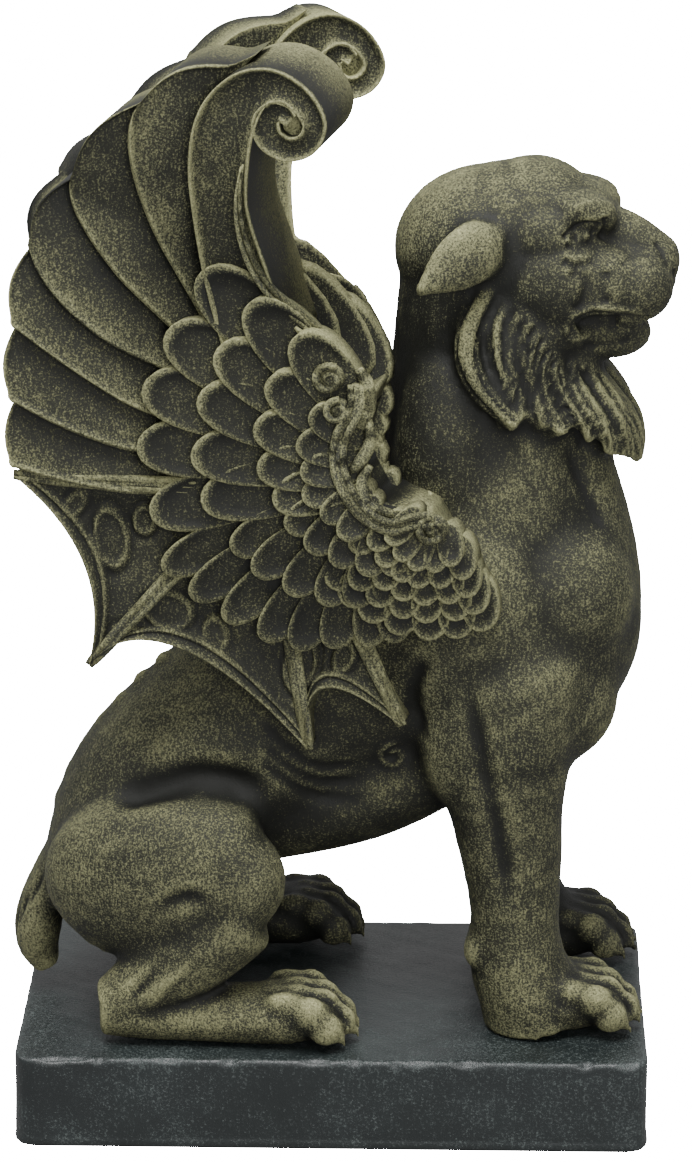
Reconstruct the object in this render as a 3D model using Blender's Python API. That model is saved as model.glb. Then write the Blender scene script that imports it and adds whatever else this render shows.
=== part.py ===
"""Winged gargoyle seated on a plinth: a cast figure and the slab that it sits on.

The figure faces +X, its right side is -Y and +Z is up. The origin is the centre of the plinth's underside.
The figure is drawn in millimetres at DRAWN_HEIGHT, feet at z = 0, and scaled to FIGURE_HEIGHT.
"""

import math

import bmesh
import bpy
import numpy as np
from mathutils import Matrix, Vector

# Driving dimensions, in metres
PLINTH_LENGTH = 0.156
PLINTH_WIDTH = 0.088
PLINTH_HEIGHT = 0.024
PLINTH_CORNER_RADIUS = 0.005
PLINTH_EDGE_RADIUS = 0.0015
FIGURE_HEIGHT = 0.2485
FOOT_CLEARANCE = 0.0003

# How finely the figure is cut, as shares of its height and as counts
DRAWN_HEIGHT = 248.5
BODY_GRAIN = 1.5
FIGURE_GRAIN = 1.15
FIGURE_TRIANGLES = 9400
CORNER_SEGMENTS = 3

# The wings, in drawn millimetres
WING_SETBACK = 4.2
LEFT_WING_LEAD = 9.7
LEFT_WING_SETBACK = 3.0
LEFT_WING_DROP = 4.5
LEFT_SCROLL_DROP = 1.0
EDGE_SLANT_FORWARD = 0.28
EDGE_SLANT_UP = 0.2
SLAB_THICKNESS = 19.0
MEMBRANE_THICKNESS = 8.0
COVERT_CENTRE = (20.7, 148.9)

# Rims of the long feathers as root, control and tip, from the leading one down to the membrane
RIMS = (
    ((-21.7, 183.8), (-34.3, 231.0), (-19.1, 245.1)),
    ((-25.2, 180.2), (-48.1, 225.3), (-39.5, 236.6)),
    ((-28.8, 175.3), (-59.7, 210.7), (-55.1, 218.7)),
    ((-30.0, 168.0), (-63.0, 186.6), (-65.3, 203.0)),
    ((-30.2, 155.8), (-53.1, 170.0), (-69.6, 183.8)),
    ((-30.3, 149.2), (-53.4, 154.9), (-70.4, 165.8)),
    ((-29.2, 139.9), (-54.0, 143.6), (-70.6, 149.6)),
)
# How far each long feather's round end stands past the line between its rims
END_BULGE = (4.0, 4.0, 3.5, 3.0, 2.5, 2.0)

# The leading feather and its scroll: the middle of the band and half its width
SCROLL_STATIONS = (
    (-12.0, 176.0, 8.0),
    (-17.3, 194.8, 7.4),
    (-20.6, 210.5, 6.4),
    (-20.9, 223.2, 6.9),
    (-19.0, 233.2, 6.8),
    (-14.5, 239.6, 5.6),
    (-8.6, 241.6, 4.0),
    (-2.2, 238.6, 3.0),
    (1.2, 233.0, 2.7),
    (-0.6, 228.2, 2.8),
    (-5.0, 226.9, 2.9),
    (-9.0, 229.4, 3.1),
    (-9.8, 233.6, 3.2),
    (-6.8, 236.0, 2.5),
    (-4.0, 233.8, 1.8),
)

SCROLL_EYE = (-4.3, 232.9)

# Rows of small feathers round COVERT_CENTRE: tip angles in degrees, tip radii, how many, length, width and rise
COVERT_ROWS = (
    ((134, 190), (65.5, 60), 5, 34, 16.0, 1.6),
    ((205, 279), (62, 42), 9, 24, 10.8, 1.6),
    ((130, 190), (53, 47.5), 5, 34, 15.0, 3.0),
    ((207, 279), (44.5, 31), 7, 18, 10.0, 3.0),
    ((125, 194), (40.5, 29), 5, 24, 12.2, 4.3),
    ((209, 286), (29.5, 24), 6, 14, 8.8, 4.1),
    ((140, 232), (24, 19), 6, 13, 8.2, 5.4),
)

# Rows of scales round the lower end of the carved leaf: tip angles, tip radius, how many, size and rise
SCALE_CENTRE = (30.0, 136.0)
SCALE_ROWS = (
    ((214, 292), 30.0, 6, 9.6, 2.6),
    ((202, 297), 21.5, 6, 8.4, 4.0),
    ((198, 300), 13.5, 5, 7.0, 5.0),
)

# The web below the feathers: tips of its ribs, the middles of the hollow edges between them, and the rib roots
WEB_TIPS = ((-70.6, 147.2), (-53.8, 99.4), (-1.5, 75.9), (21.0, 82.3))
WEB_HOLLOWS = ((-54.5, 125.0), (-33.0, 103.0), (2.5, 91.5))
WEB_ROOTS = ((-28.0, 143.0), (-22.0, 134.0), (-8.0, 120.0), (8.0, 112.0))

# The wing's front edge beside the neck: heights, and how far forward it stands there
FRONT_HEIGHTS = (136.0, 140.6, 147.2, 153.0, 158.8, 165.0, 170.5, 180.0, 195.0)
FRONT_EDGE = (40.0, 15.5, 11.0, 10.0, 11.0, 13.0, 13.0, 3.0, -8.0)


def catmull(points, steps):
    """Smooth values through a list of equally long tuples."""
    rows = np.array(points, float)
    ends = np.vstack([2 * rows[0] - rows[1], rows, 2 * rows[-1] - rows[-2]])
    out = []
    for i in range(len(rows) - 1):
        a, b, c, d = ends[i : i + 4]
        for t in np.arange(steps) / steps:
            out.append(
                0.5 * (2 * b + (c - a) * t + (2 * a - 5 * b + 4 * c - d) * t**2 + (3 * b - a - 3 * c + d) * t**3)
            )
    out.append(rows[-1])
    return np.array(out)


def smoothstep(value, low, high):
    t = min(1.0, max(0.0, (value - low) / (high - low)))
    return t * t * (3 - 2 * t)


def blob(bm, centre, radii, turn=0.0, roll=0.0):
    """An ellipsoid, turned about Y by turn and about Z by roll, in degrees."""
    place = (
        Matrix.Translation(centre)
        @ Matrix.Rotation(math.radians(roll), 4, "Z")
        @ Matrix.Rotation(math.radians(turn), 4, "Y")
        @ Matrix.Diagonal((*radii, 1.0))
    )
    bmesh.ops.create_uvsphere(bm, u_segments=20, v_segments=12, radius=1.0, matrix=place)


def limb(bm, stations, sides=16, steps=4):
    """A tube through elliptical sections (x, y, z, half depth, half width), made by extruding its end face."""
    rows = catmull(stations, steps)
    frames = []
    for i, row in enumerate(rows):
        ahead = Vector(rows[min(i + 1, len(rows) - 1)][:3]) - Vector(rows[max(i - 1, 0)][:3])
        ahead.normalize()
        wide = Vector((0, 1, 0)) if abs(ahead.y) < 0.8 else Vector((1, 0, 0))
        wide = (wide - ahead * wide.dot(ahead)).normalized()
        deep = wide.cross(ahead)
        axes = Matrix((deep * row[3], wide * row[4], ahead)).transposed().to_4x4()
        frames.append(Matrix.Translation(row[:3]) @ axes)
    made = bmesh.ops.create_circle(bm, cap_ends=True, segments=sides, radius=1.0, matrix=frames[0])
    face = made["verts"][0].link_faces[0]
    shell = [face]
    for before, after in zip(frames, frames[1:]):
        grown = bmesh.ops.extrude_face_region(bm, geom=[face])["geom"]
        verts = [item for item in grown if isinstance(item, bmesh.types.BMVert)]
        bmesh.ops.transform(bm, matrix=after @ before.inverted(), verts=verts)
        face = next(item for item in grown if isinstance(item, bmesh.types.BMFace))
        shell.append(face)


def sheet(bm, across, along, outer, inner):
    """A closed slab between two surfaces, each a function of two shares from 0 to 1."""
    made = bmesh.ops.create_grid(bm, x_segments=across, y_segments=along, size=0.5)
    front = made["verts"]
    faces = list({face for vert in front for face in vert.link_faces})
    grown = bmesh.ops.extrude_face_region(bm, geom=faces)["geom"]
    back = [item for item in grown if isinstance(item, bmesh.types.BMVert)]
    for vert in back:
        vert.co = inner(vert.co.x + 0.5, vert.co.y + 0.5)
    for vert in front:
        vert.co = outer(vert.co.x + 0.5, vert.co.y + 0.5)


def wing_point(side, u, w, depth):
    """A point of the wing: forward, up and out from the middle plane.

    The edges slant forward and up inwards, and the left wing's scroll stands further forward than the right one's.
    """
    inset = outer_depth(u, w) - depth
    x = u - WING_SETBACK + EDGE_SLANT_FORWARD * inset
    z = w + EDGE_SLANT_UP * inset
    if side > 0:
        x += LEFT_WING_LEAD * smoothstep(w, 185, 232) - LEFT_WING_SETBACK
        z -= LEFT_WING_DROP * smoothstep(-u, 0, 35) * smoothstep(w, 195, 230)
        z -= LEFT_SCROLL_DROP * smoothstep(w, 200, 235)
    return Vector((x, side * depth, z))


def outer_depth(u, w):
    """How far the outer face of the wing stands from the middle plane."""
    top = 9.0 * smoothstep(w, 180, 235)
    rear = 7.0 * smoothstep(-u, 5, 65)
    shoulder = 4.0 * math.exp(-(((u - 22) / 18) ** 2) - ((w - 135) / 22) ** 2)
    return 31.0 + max(top, rear) + shoulder


def thickness(w):
    return MEMBRANE_THICKNESS + (SLAB_THICKNESS - MEMBRANE_THICKNESS) * smoothstep(w, 125, 175)


def bezier(rim, t):
    root, control, tip = (np.array(p) for p in rim)
    return root * (1 - t) ** 2 + control * 2 * t * (1 - t) + tip * t**2


def long_feathers(bm, side, across=5, along=10):
    """The fan of long feathers. Each one is a hollow channel that ends in a raised rim over the next."""
    for i, bulge in enumerate(END_BULGE):
        upper, lower = RIMS[i], RIMS[i + 1]
        end = np.array(lower[2]) - np.array(upper[2])
        out = np.array((-end[1], end[0]))
        out = -out / np.linalg.norm(out) if out[0] > 0 else out / np.linalg.norm(out)

        def plan(s, t, upper=upper, lower=lower, out=out, bulge=bulge):
            overlap = -0.25
            mixed = overlap + (1 - overlap) * s
            flat = bezier(upper, t) * (1 - mixed) + bezier(lower, t) * mixed
            return flat + out * bulge * math.sin(math.pi * s) * t**3

        def outer(s, t, plan=plan):
            u, w = plan(s, t)
            rise = -3.2 * (1 - s) ** 1.4 + 0.9 * math.exp(-(((s - 0.93) / 0.07) ** 2))
            return wing_point(side, u, w, outer_depth(u, w) + rise)

        def inner(s, t, plan=plan):
            u, w = plan(s, t)
            rise = 2.4 * (1 - s) ** 1.4
            return wing_point(side, u, w, outer_depth(u, w) - thickness(w) + rise)

        sheet(bm, across, along, outer, inner)


def scroll(bm, side, across=4, steps=4):
    """The leading feather, which rolls over at the top into a scroll."""
    rows = catmull(SCROLL_STATIONS, steps)
    ahead = np.gradient(rows[:, :2], axis=0)
    ahead /= np.linalg.norm(ahead, axis=1)[:, None]
    left = np.stack([-ahead[:, 1], ahead[:, 0]], axis=1)

    def plan(s, t):
        at = t * (len(rows) - 1)
        i = min(int(at), len(rows) - 2)
        mix = at - i
        row = rows[i] * (1 - mix) + rows[i + 1] * mix
        away = left[i] * (1 - mix) + left[i + 1] * mix
        return row[:2] + away * row[2] * (2 * s - 1)

    def outer(s, t):
        u, w = plan(s, t)
        return wing_point(side, u, w, outer_depth(u, w) + 1.0 - 2.2 * math.sin(math.pi * s) ** 0.7)

    def inner(s, t):
        u, w = plan(s, t)
        return wing_point(side, u, w, outer_depth(u, w) - SLAB_THICKNESS + 1.2 * math.sin(math.pi * s))

    sheet(bm, across, len(rows) - 1, outer, inner)
    for inset, radius in ((2.5, 8.6), (SLAB_THICKNESS / 2, 9.0), (SLAB_THICKNESS - 1.5, 8.6)):
        u, w = SCROLL_EYE
        blob(bm, wing_point(side, u, w, outer_depth(u, w) - inset), (radius, 4.5, radius))


def covert(bm, side, tip, angle, length, width, rise, face):
    """A small feather: a flattened ball drawn out to a tongue, its tip standing over the row outside it."""
    made = bmesh.ops.create_uvsphere(bm, u_segments=12, v_segments=6, radius=1.0)
    away = np.array((math.cos(angle), math.sin(angle)))
    beside = np.array((-away[1], away[0]))
    middle = np.array(tip) - away * length / 2
    for vert in made["verts"]:
        x, y, z = vert.co
        round_share = (abs(x) ** 2.6 + abs(y) ** 2.6) ** (1 / 2.6) or 1.0
        ring = math.hypot(x, y)
        along, across = x / round_share * ring, y / round_share * ring
        flat = middle + away * along * length / 2 + beside * across * width / 2
        lift = rise * (0.35 + 0.65 * (along + 1) / 2)
        hollow = 0.7 * (1 - ring) if z > 0 else 0.0
        depth = outer_depth(*flat)
        out = lift + (0.6 - hollow if z > 0 else -2.5)
        if face == "outer":
            vert.co = wing_point(side, flat[0], flat[1], depth + out)
        else:
            vert.co = wing_point(side, flat[0], flat[1], depth - thickness(flat[1]) - out * 0.5)


def coverts(bm, side, face):
    for (start, stop), (near, far), count, length, width, rise in COVERT_ROWS:
        for i in range(count):
            share = i / (count - 1)
            angle = math.radians(start + (stop - start) * share)
            radius = near + (far - near) * share
            tip = (
                COVERT_CENTRE[0] + radius * math.cos(angle),
                COVERT_CENTRE[1] + radius * math.sin(angle),
            )
            covert(bm, side, tip, angle, length, width, rise, face)


def scales(bm, side):
    """The small scales between the coverts and the chest. They all hang down."""
    for (start, stop), radius, count, size, rise in SCALE_ROWS:
        for i in range(count):
            degrees = start + (stop - start) * i / (count - 1)
            tip = (
                SCALE_CENTRE[0] + radius * math.cos(math.radians(degrees)),
                SCALE_CENTRE[1] + radius * math.sin(math.radians(degrees)),
            )
            hang = math.radians(0.55 * degrees + 0.45 * 268)
            covert(bm, side, tip, hang, size * 1.5, size, rise, "outer")


def wing_core(bm, side):
    """The solid under the coverts, from the shoulder up to the long feathers."""

    def plan(s, t):
        angle = math.radians(118 + 182 * s)
        reach = (34 + 24 * smoothstep(s, 0.0, 0.25) - 30 * smoothstep(s, 0.5, 1.0)) * (0.04 + 0.96 * t)
        u, w = COVERT_CENTRE[0] + reach * math.cos(angle), COVERT_CENTRE[1] + reach * math.sin(angle)
        return min(u, float(np.interp(w, FRONT_HEIGHTS, FRONT_EDGE))), w

    def outer(s, t):
        u, w = plan(s, t)
        return wing_point(side, u, w, outer_depth(u, w) + 3.0 * (1 - t) - 3.0 * smoothstep(t, 0.8, 1.0))

    def inner(s, t):
        u, w = plan(s, t)
        return wing_point(side, u, w, max(8.0, outer_depth(u, w) - thickness(w) - 4.0))

    sheet(bm, 14, 4, outer, inner)


def web(bm, side, along=6):
    """The skin stretched between the ribs below the feathers."""
    for i, hollow in enumerate(WEB_HOLLOWS):
        first, last = np.array(WEB_TIPS[i]), np.array(WEB_TIPS[i + 1])
        middle = 2 * np.array(hollow) - (first + last) / 2
        root_a, root_b = np.array(WEB_ROOTS[i]), np.array(WEB_ROOTS[i + 1])

        def plan(s, t, first=first, last=last, middle=middle, root_a=root_a, root_b=root_b):
            edge = first * (1 - s) ** 2 + middle * 2 * s * (1 - s) + last * s**2
            return (root_a * (1 - s) + root_b * s) * (1 - t) + edge * t

        def outer(s, t, plan=plan):
            u, w = plan(s, t)
            hollow_depth = 2.2 * math.sin(math.pi * s) * math.sin(math.pi * min(1, t * 1.05)) ** 0.5
            return wing_point(side, u, w, outer_depth(u, w) - 1.0 - hollow_depth)

        def inner(s, t, plan=plan):
            u, w = plan(s, t)
            return wing_point(side, u, w, outer_depth(u, w) - MEMBRANE_THICKNESS - 1.0)

        sheet(bm, 8, along, outer, inner)


def ribs(bm, side):
    """The finger bones that stiffen the web."""
    for root, tip in zip(WEB_ROOTS, WEB_TIPS):
        stations = []
        for share, radius in ((0.0, 2.2), (0.5, 1.9), (0.92, 1.8), (1.0, 1.0)):
            u, w = (np.array(root) * (1 - share) + np.array(tip) * share).tolist()
            stations.append((*wing_point(side, u, w, outer_depth(u, w) - 1.2), radius, radius))
        limb(bm, stations, sides=8, steps=2)


def shoulder_leaf(bm, side):
    """The carved leaf along the wing's leading edge, rolled up at both ends."""
    strap = (
        (-12.2, 203.0, 1.6),
        (-6.0, 188.6, 2.0),
        (0.4, 182.6, 2.2),
        (9.0, 174.0, 2.0),
    )
    stem = (
        (12.8, 172.5, 2.6),
        (12.4, 165.5, 3.0),
        (9.4, 158.8, 2.8),
        (8.6, 153.0, 2.8),
        (10.0, 147.0, 2.8),
        (13.8, 141.4, 2.8),
        (19.7, 137.6, 2.6),
        (25.6, 138.0, 2.6),
        (29.5, 138.0, 2.4),
    )
    for edge, proud in ((strap, 1.6), (stem, 5.2)):
        limb(
            bm,
            [(*wing_point(side, u, w, outer_depth(u, w) + proud), r, r * 1.2) for u, w, r in edge],
            sides=10,
            steps=3,
        )
    for u, w, r in ((5.6, 171.6, 4.4), (7.8, 164.0, 3.8), (30.2, 136.0, 4.4)):
        blob(bm, wing_point(side, u, w, outer_depth(u, w) + 4.8), (r, 3.0, r))


def wing(bm, side):
    wing_core(bm, side)
    long_feathers(bm, side)
    scroll(bm, side)
    coverts(bm, side, "outer")
    coverts(bm, side, "inner")
    scales(bm, side)
    web(bm, side)
    ribs(bm, side)
    shoulder_leaf(bm, side)


def trunk(bm):
    limb(
        bm,
        (
            (-65, 0, 22, 8, 14),
            (-57, 0, 34, 18, 24),
            (-43, 0, 51.5, 25.5, 27),
            (-22, 0, 69, 28.5, 26),
            (2, 0, 87, 32, 25),
            (26, 0, 100, 35, 28),
            (42, 0, 104, 30, 29),
            (52, 0, 104, 22, 24),
        ),
    )
    blob(bm, (45, 0, 100), (30, 28, 35))
    for side in (-1, 1):
        blob(bm, (53, side * 12, 110), (20.5, 15, 20))
        blob(bm, (52, side * 13, 84), (18, 13, 18))
        blob(bm, (34, side * 21, 104), (20, 12, 28))
        blob(bm, (30, side * 22, 78), (9, 9, 20))
        blob(bm, (27, side * 18, 148), (13, 12, 27))
    limb(
        bm,
        (
            (57, 0, 160, 6, 8),
            (59, 0, 148, 6.5, 11),
            (62, 0, 135, 7.5, 13),
            (65.5, 0, 121, 8, 14),
            (67, 0, 107, 8.5, 14),
            (66.5, 0, 93, 8.5, 13),
            (61, 0, 79, 7.5, 11),
        ),
    )
    limb(
        bm,
        (
            (-38, 0, 42, 9, 14),
            (-24, 0, 47, 12, 18),
            (-8, 0, 52.5, 14.5, 20),
            (8, 0, 57.5, 15, 21),
            (24, 0, 66, 15, 21),
            (38, 0, 74, 12, 18),
        ),
    )


def neck(bm):
    limb(
        bm,
        (
            (36, 0, 112, 31, 28),
            (36.5, 0, 132, 27, 25),
            (37, 0, 152, 25.5, 21),
            (36.5, 0, 172, 22.5, 19.5),
            (36.5, 0, 190, 20.5, 18),
        ),
    )


def foreleg(bm, side, foot_y):
    y = side * 20.5
    limb(
        bm,
        (
            (42, y, 106, 12, 9),
            (42, y, 94, 19.5, 13),
            (42, y, 74, 17, 13.5),
            (42.5, (y + foot_y) / 2, 58, 14.5, 12),
            (44.3, foot_y, 42, 12.6, 11),
            (45, foot_y, 28, 11.2, 10.5),
            (46, foot_y, 16, 12.0, 11),
            (49, foot_y, 8, 13, 11.5),
            (51, foot_y, 0, 13, 11.5),
        ),
    )
    paw(bm, (58, foot_y, 0), 19)


def paw(bm, base, reach):
    """A paw with four knuckled toes, its toe tips at base x + reach."""
    x, y, z = base
    blob(bm, (x, y, z + 6), (15, 11.5, 8))
    for i, spread in enumerate((-8.2, -2.9, 2.9, 8.2)):
        back = 1.0 if i in (1, 2) else 3.4
        blob(bm, (x + reach - 10 - back, y + spread, z + 9.0), (6.0, 3.5, 4.2), turn=20)
        blob(bm, (x + reach - 4.5 - back, y + spread, z + 5.2), (4.6, 3.3, 4.4), turn=35)
        blob(bm, (x + reach - 2.2 - back, y + spread, z + 2.6), (2.4, 1.6, 2.8), turn=35)


def hind_leg(bm, side, foot_y):
    y = side * 1.0
    limb(
        bm,
        (
            (-62, y * 16, 27, 14, 10),
            (-54, y * 21, 35, 22, 14),
            (-40, y * 25, 41, 22.5, 15),
            (-27, y * 29, 45, 18, 12.5),
            (-19, y * 31, 45, 12.5, 9.5),
        ),
    )
    blob(bm, (-23.5, y * 31, 42), (13, 10.5, 14))
    limb(
        bm,
        (
            (-21, y * 31, 34, 11, 10),
            (-34, (y * 31 + foot_y) / 2, 23, 11, 10),
            (-48, foot_y, 12, 8.5, 8.5),
            (-55, foot_y, 7.5, 6.5, 7.5),
        ),
    )
    limb(
        bm,
        (
            (-57, foot_y, 7.0, 6.5, 7),
            (-48, foot_y, 6.5, 7.2, 8),
            (-30, foot_y, 6.5, 7.6, 8.5),
            (-10, foot_y, 6.0, 7.6, 9.5),
        ),
    )
    paw(bm, (-11, foot_y, 0), 18)


def tail(bm):
    limb(
        bm,
        (
            (-60, 0, 46, 5, 7),
            (-68, 0, 36, 5.5, 8),
            (-74, 1, 22, 6.2, 9),
            (-75.5, 2, 12, 5.8, 8),
            (-73, 2, 4.5, 3.2, 5),
        ),
    )


def crest(bm):
    """The row of tufts down the spine."""
    top, bottom = Vector((-28, 0, 96.5)), Vector((-66, 0, 51))
    tufts = 7
    for i in range(tufts):
        share = i / (tufts - 1)
        spot = top.lerp(bottom, share)
        spot += Vector((-0.55, 0, 0.7)) * 4.0 * math.sin(math.pi * share)
        blob(bm, spot, (6.0, 3.4, 4.2), turn=46)


def head(bm):
    blob(bm, (37.5, 0, 193), (23.5, 18.5, 20))
    blob(bm, (46, 0, 200), (18, 15, 15.5))
    blob(bm, (44, 0, 172), (17, 17, 17))
    blob(bm, (67, 0, 193), (13.5, 8.0, 9.5), turn=22)
    blob(bm, (78.5, 0, 190.5), (4.8, 5.4, 6.0))
    blob(bm, (59, 0, 172.5), (13.5, 8.5, 5.8), turn=-12)
    for side in (-1, 1):
        blob(bm, (61.0, side * 7.5, 204.5), (8.8, 5.8, 5.2), turn=14)
        blob(bm, (71.5, side * 5.0, 183.5), (9.5, 7.5, 8.2))
        blob(bm, (53, side * 10, 188), (13, 9, 11))
        blob(bm, (61.3, side * 9.4, 198.4), (3.4, 3.0, 3.0))
        ear(bm, side)


def ear(bm, side):
    """A pointed ear laid back against the skull."""
    limb(
        bm,
        (
            (41, side * 15.5, 203, 3.0, 4.5),
            (36.5, side * 18.5, 200, 7.2, 4.2),
            (31, side * 22, 196, 7.4, 3.6),
            (26, side * 25, 192, 4.6, 2.6),
            (21.5, side * 27, 189.5, 1.2, 1.2),
        ),
        sides=12,
    )


def locks(bm, side):
    """The ruff: locks that sweep down from the cheek to the chest."""
    sweeps = (
        ((39.7, -16, 188), (34.3, -19, 178), (33.6, -21.5, 168), (37.3, -22.5, 161), (45.0, -22.0, 154), 2.6),
        ((45.0, -16, 184), (40.7, -19, 174), (40.4, -21.0, 166), (42.4, -21.5, 160), (46.0, -21.0, 156), 1.9),
        ((49.5, -15, 179), (46.3, -18, 169), (46.6, -20.0, 161), (48.0, -20.0, 156), (49.0, -19.5, 151), 1.9),
        ((53.2, -12, 175), (49.8, -15, 166), (51.5, -17.0, 159), (54.0, -17.0, 155), (57.5, -16.5, 150), 2.1),
        ((58.0, -8, 172), (57.5, -11, 166), (61.0, -12.5, 159), (65.0, -12.0, 152), (66.0, -10.5, 145), 2.5),
        ((61.7, -4, 170), (63.5, -7, 165), (67.5, -8.0, 158), (70.5, -7.5, 150), (70.0, -6.5, 143), 2.5),
        ((65.0, -1, 168), (67.5, -2, 161), (71.0, -2.5, 154), (73.0, -2.5, 147), (72.3, -2.5, 140), 2.4),
    )
    for *points, radius in sweeps:
        thin = (0.8, 1.0, 1.0, 0.9, 0.45)
        limb(
            bm,
            [(x, -side * y, z, radius * k, radius * k * 1.2) for (x, y, z), k in zip(points, thin)],
            sides=8,
            steps=2,
        )


def turned_head(bm):
    """The head and ruff, turned a little to the figure's right."""
    part = bmesh.new()
    head(part)
    for side in (-1, 1):
        locks(part, side)
    turn = Matrix.Rotation(math.radians(-6), 4, "Z")
    bmesh.ops.rotate(part, cent=(34, 0, 0), matrix=turn, verts=part.verts)
    held = bpy.data.meshes.new("held")
    part.to_mesh(held)
    part.free()
    bm.from_mesh(held)
    bpy.data.meshes.remove(held)


def body(bm):
    trunk(bm)
    neck(bm)
    turned_head(bm)
    foreleg(bm, -1, -20.0)
    foreleg(bm, 1, 25.0)
    hind_leg(bm, -1, -29.5)
    hind_leg(bm, 1, 32.0)
    tail(bm)
    crest(bm)


# Grooves cut into the fused body: the points of each, how wide and how deep, in drawn millimetres
GROOVES = (
    (((-26, -43, 37), (-34, -43, 35), (-42, -42, 29), (-50, -41, 20), (-57, -39, 12)), 2.4, 3.0),
    (((-58, -30, 60), (-46, -36, 63), (-32, -38, 66), (-20, -34, 63)), 4.0, 3.5),
    (((56, -12, 176), (61, -12, 178.5), (67, -12, 177.5), (74, -9, 175.5), (79, -3, 174.5)), 1.5, 3.0),
    (((54, -15, 196), (60, -14, 196.5), (66, -9, 197)), 1.8, 1.8),
)


def carve(points, normals, path, width, depth):
    """Presses a soft groove along a path into the surface."""
    path = np.array(path, float)
    nearest = np.full(len(points), np.inf)
    for a, b in zip(path, path[1:]):
        along = np.clip((points - a) @ (b - a) / ((b - a) @ (b - a)), 0, 1)
        away = np.linalg.norm(points - a - along[:, None] * (b - a), axis=1)
        nearest = np.minimum(nearest, away)
    return points - normals * (depth * np.exp(-((nearest / width) ** 2)))[:, None]


def settled(name, bm, grain, smoothing):
    """One closed skin round all the shapes in bm, as a new mesh."""
    mesh = bpy.data.meshes.new(name)
    bm.to_mesh(mesh)
    bm.free()
    obj = bpy.data.objects.new(name, mesh)
    bpy.context.scene.collection.objects.link(obj)
    skin = obj.modifiers.new("skin", "REMESH")
    skin.mode = "VOXEL"
    skin.voxel_size = grain
    if smoothing:
        soften = obj.modifiers.new("soften", "SMOOTH")
        soften.factor = 0.5
        soften.iterations = smoothing
    graph = bpy.context.evaluated_depsgraph_get()
    made = bpy.data.meshes.new_from_object(obj.evaluated_get(graph))
    bpy.data.objects.remove(obj)
    bpy.data.meshes.remove(mesh)
    return made


def keep_largest_shell(bm):
    """Removes what the skin left inside or apart from the main body."""
    seen, shells = set(), []
    for start in bm.verts:
        if start in seen:
            continue
        shell, queue = [], [start]
        seen.add(start)
        while queue:
            vert = queue.pop()
            shell.append(vert)
            for edge in vert.link_edges:
                other = edge.other_vert(vert)
                if other not in seen:
                    seen.add(other)
                    queue.append(other)
        shells.append(shell)
    shells.sort(key=len)
    for shell in shells[:-1]:
        bmesh.ops.delete(bm, geom=shell, context="VERTS")


def figure_mesh():
    """The whole figure in drawn millimetres."""
    bm = bmesh.new()
    body(bm)
    bmesh.ops.recalc_face_normals(bm, faces=bm.faces)
    soft = settled("body", bm, BODY_GRAIN, 5)
    count = len(soft.vertices)
    points, normals = np.empty(count * 3), np.empty(count * 3)
    soft.vertices.foreach_get("co", points)
    soft.vertex_normals.foreach_get("vector", normals)
    points, normals = points.reshape(-1, 3), normals.reshape(-1, 3)
    for path, width, depth in GROOVES:
        points = carve(points, normals, path, width, depth)
    soft.vertices.foreach_set("co", points.ravel())
    bm = bmesh.new()
    for side in (-1, 1):
        wing(bm, side)
    bmesh.ops.recalc_face_normals(bm, faces=bm.faces)
    bm.from_mesh(soft)
    bpy.data.meshes.remove(soft)
    return settled("figure", bm, FIGURE_GRAIN, 1)


def stone(name, colour, roughness):
    material = bpy.data.materials.new(name)
    material.use_nodes = True
    shader = material.node_tree.nodes["Principled BSDF"]
    shader.inputs["Base Color"].default_value = (*colour, 1.0)
    shader.inputs["Roughness"].default_value = roughness
    shader.inputs["Metallic"].default_value = 0.0
    material.diffuse_color = (*colour, 1.0)
    return material


def add_object(name, mesh, material):
    mesh.name = name
    obj = bpy.data.objects.new(name, mesh)
    bpy.context.scene.collection.objects.link(obj)
    mesh.materials.append(material)
    return obj


def plinth(material):
    bm = bmesh.new()
    size = (PLINTH_LENGTH, PLINTH_WIDTH, PLINTH_HEIGHT, 1.0)
    place = Matrix.Translation((0, 0, PLINTH_HEIGHT / 2)) @ Matrix.Diagonal(size)
    bmesh.ops.create_cube(bm, size=1.0, matrix=place)
    uprights = [e for e in bm.edges if abs((e.verts[0].co - e.verts[1].co).normalized().z) > 0.9]
    bmesh.ops.bevel(
        bm,
        geom=uprights,
        offset=PLINTH_CORNER_RADIUS,
        segments=CORNER_SEGMENTS,
        profile=0.5,
        affect="EDGES",
    )
    rims = [e for e in bm.edges if abs(e.verts[0].co.z - e.verts[1].co.z) < 1e-6]
    bmesh.ops.bevel(
        bm,
        geom=rims,
        offset=PLINTH_EDGE_RADIUS,
        segments=CORNER_SEGMENTS,
        profile=0.5,
        affect="EDGES",
    )
    mesh = bpy.data.meshes.new("plinth")
    bm.to_mesh(mesh)
    bm.free()
    obj = add_object("plinth", mesh, material)
    mesh.set_sharp_from_angle(angle=math.radians(40))
    return obj


def gargoyle(material):
    mesh = figure_mesh()
    obj = add_object("winged_gargoyle", mesh, material)
    thin = obj.modifiers.new("thin", "DECIMATE")
    thin.ratio = FIGURE_TRIANGLES / sum(len(face.vertices) - 2 for face in mesh.polygons)
    graph = bpy.context.evaluated_depsgraph_get()
    light = bpy.data.meshes.new_from_object(obj.evaluated_get(graph))
    obj.modifiers.clear()
    obj.data = light
    bpy.data.meshes.remove(mesh)
    bm = bmesh.new()
    bm.from_mesh(light)
    keep_largest_shell(bm)
    unit = FIGURE_HEIGHT / DRAWN_HEIGHT
    for vert in bm.verts:
        vert.co.z = max(vert.co.z, 0.0)
    bmesh.ops.scale(bm, vec=(unit, unit, unit), verts=bm.verts)
    bm.to_mesh(light)
    bm.free()
    light.name = obj.name
    obj.location.z = PLINTH_HEIGHT + FOOT_CLEARANCE
    light.shade_smooth()
    light.set_sharp_from_angle(angle=math.radians(50))
    return obj


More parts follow.
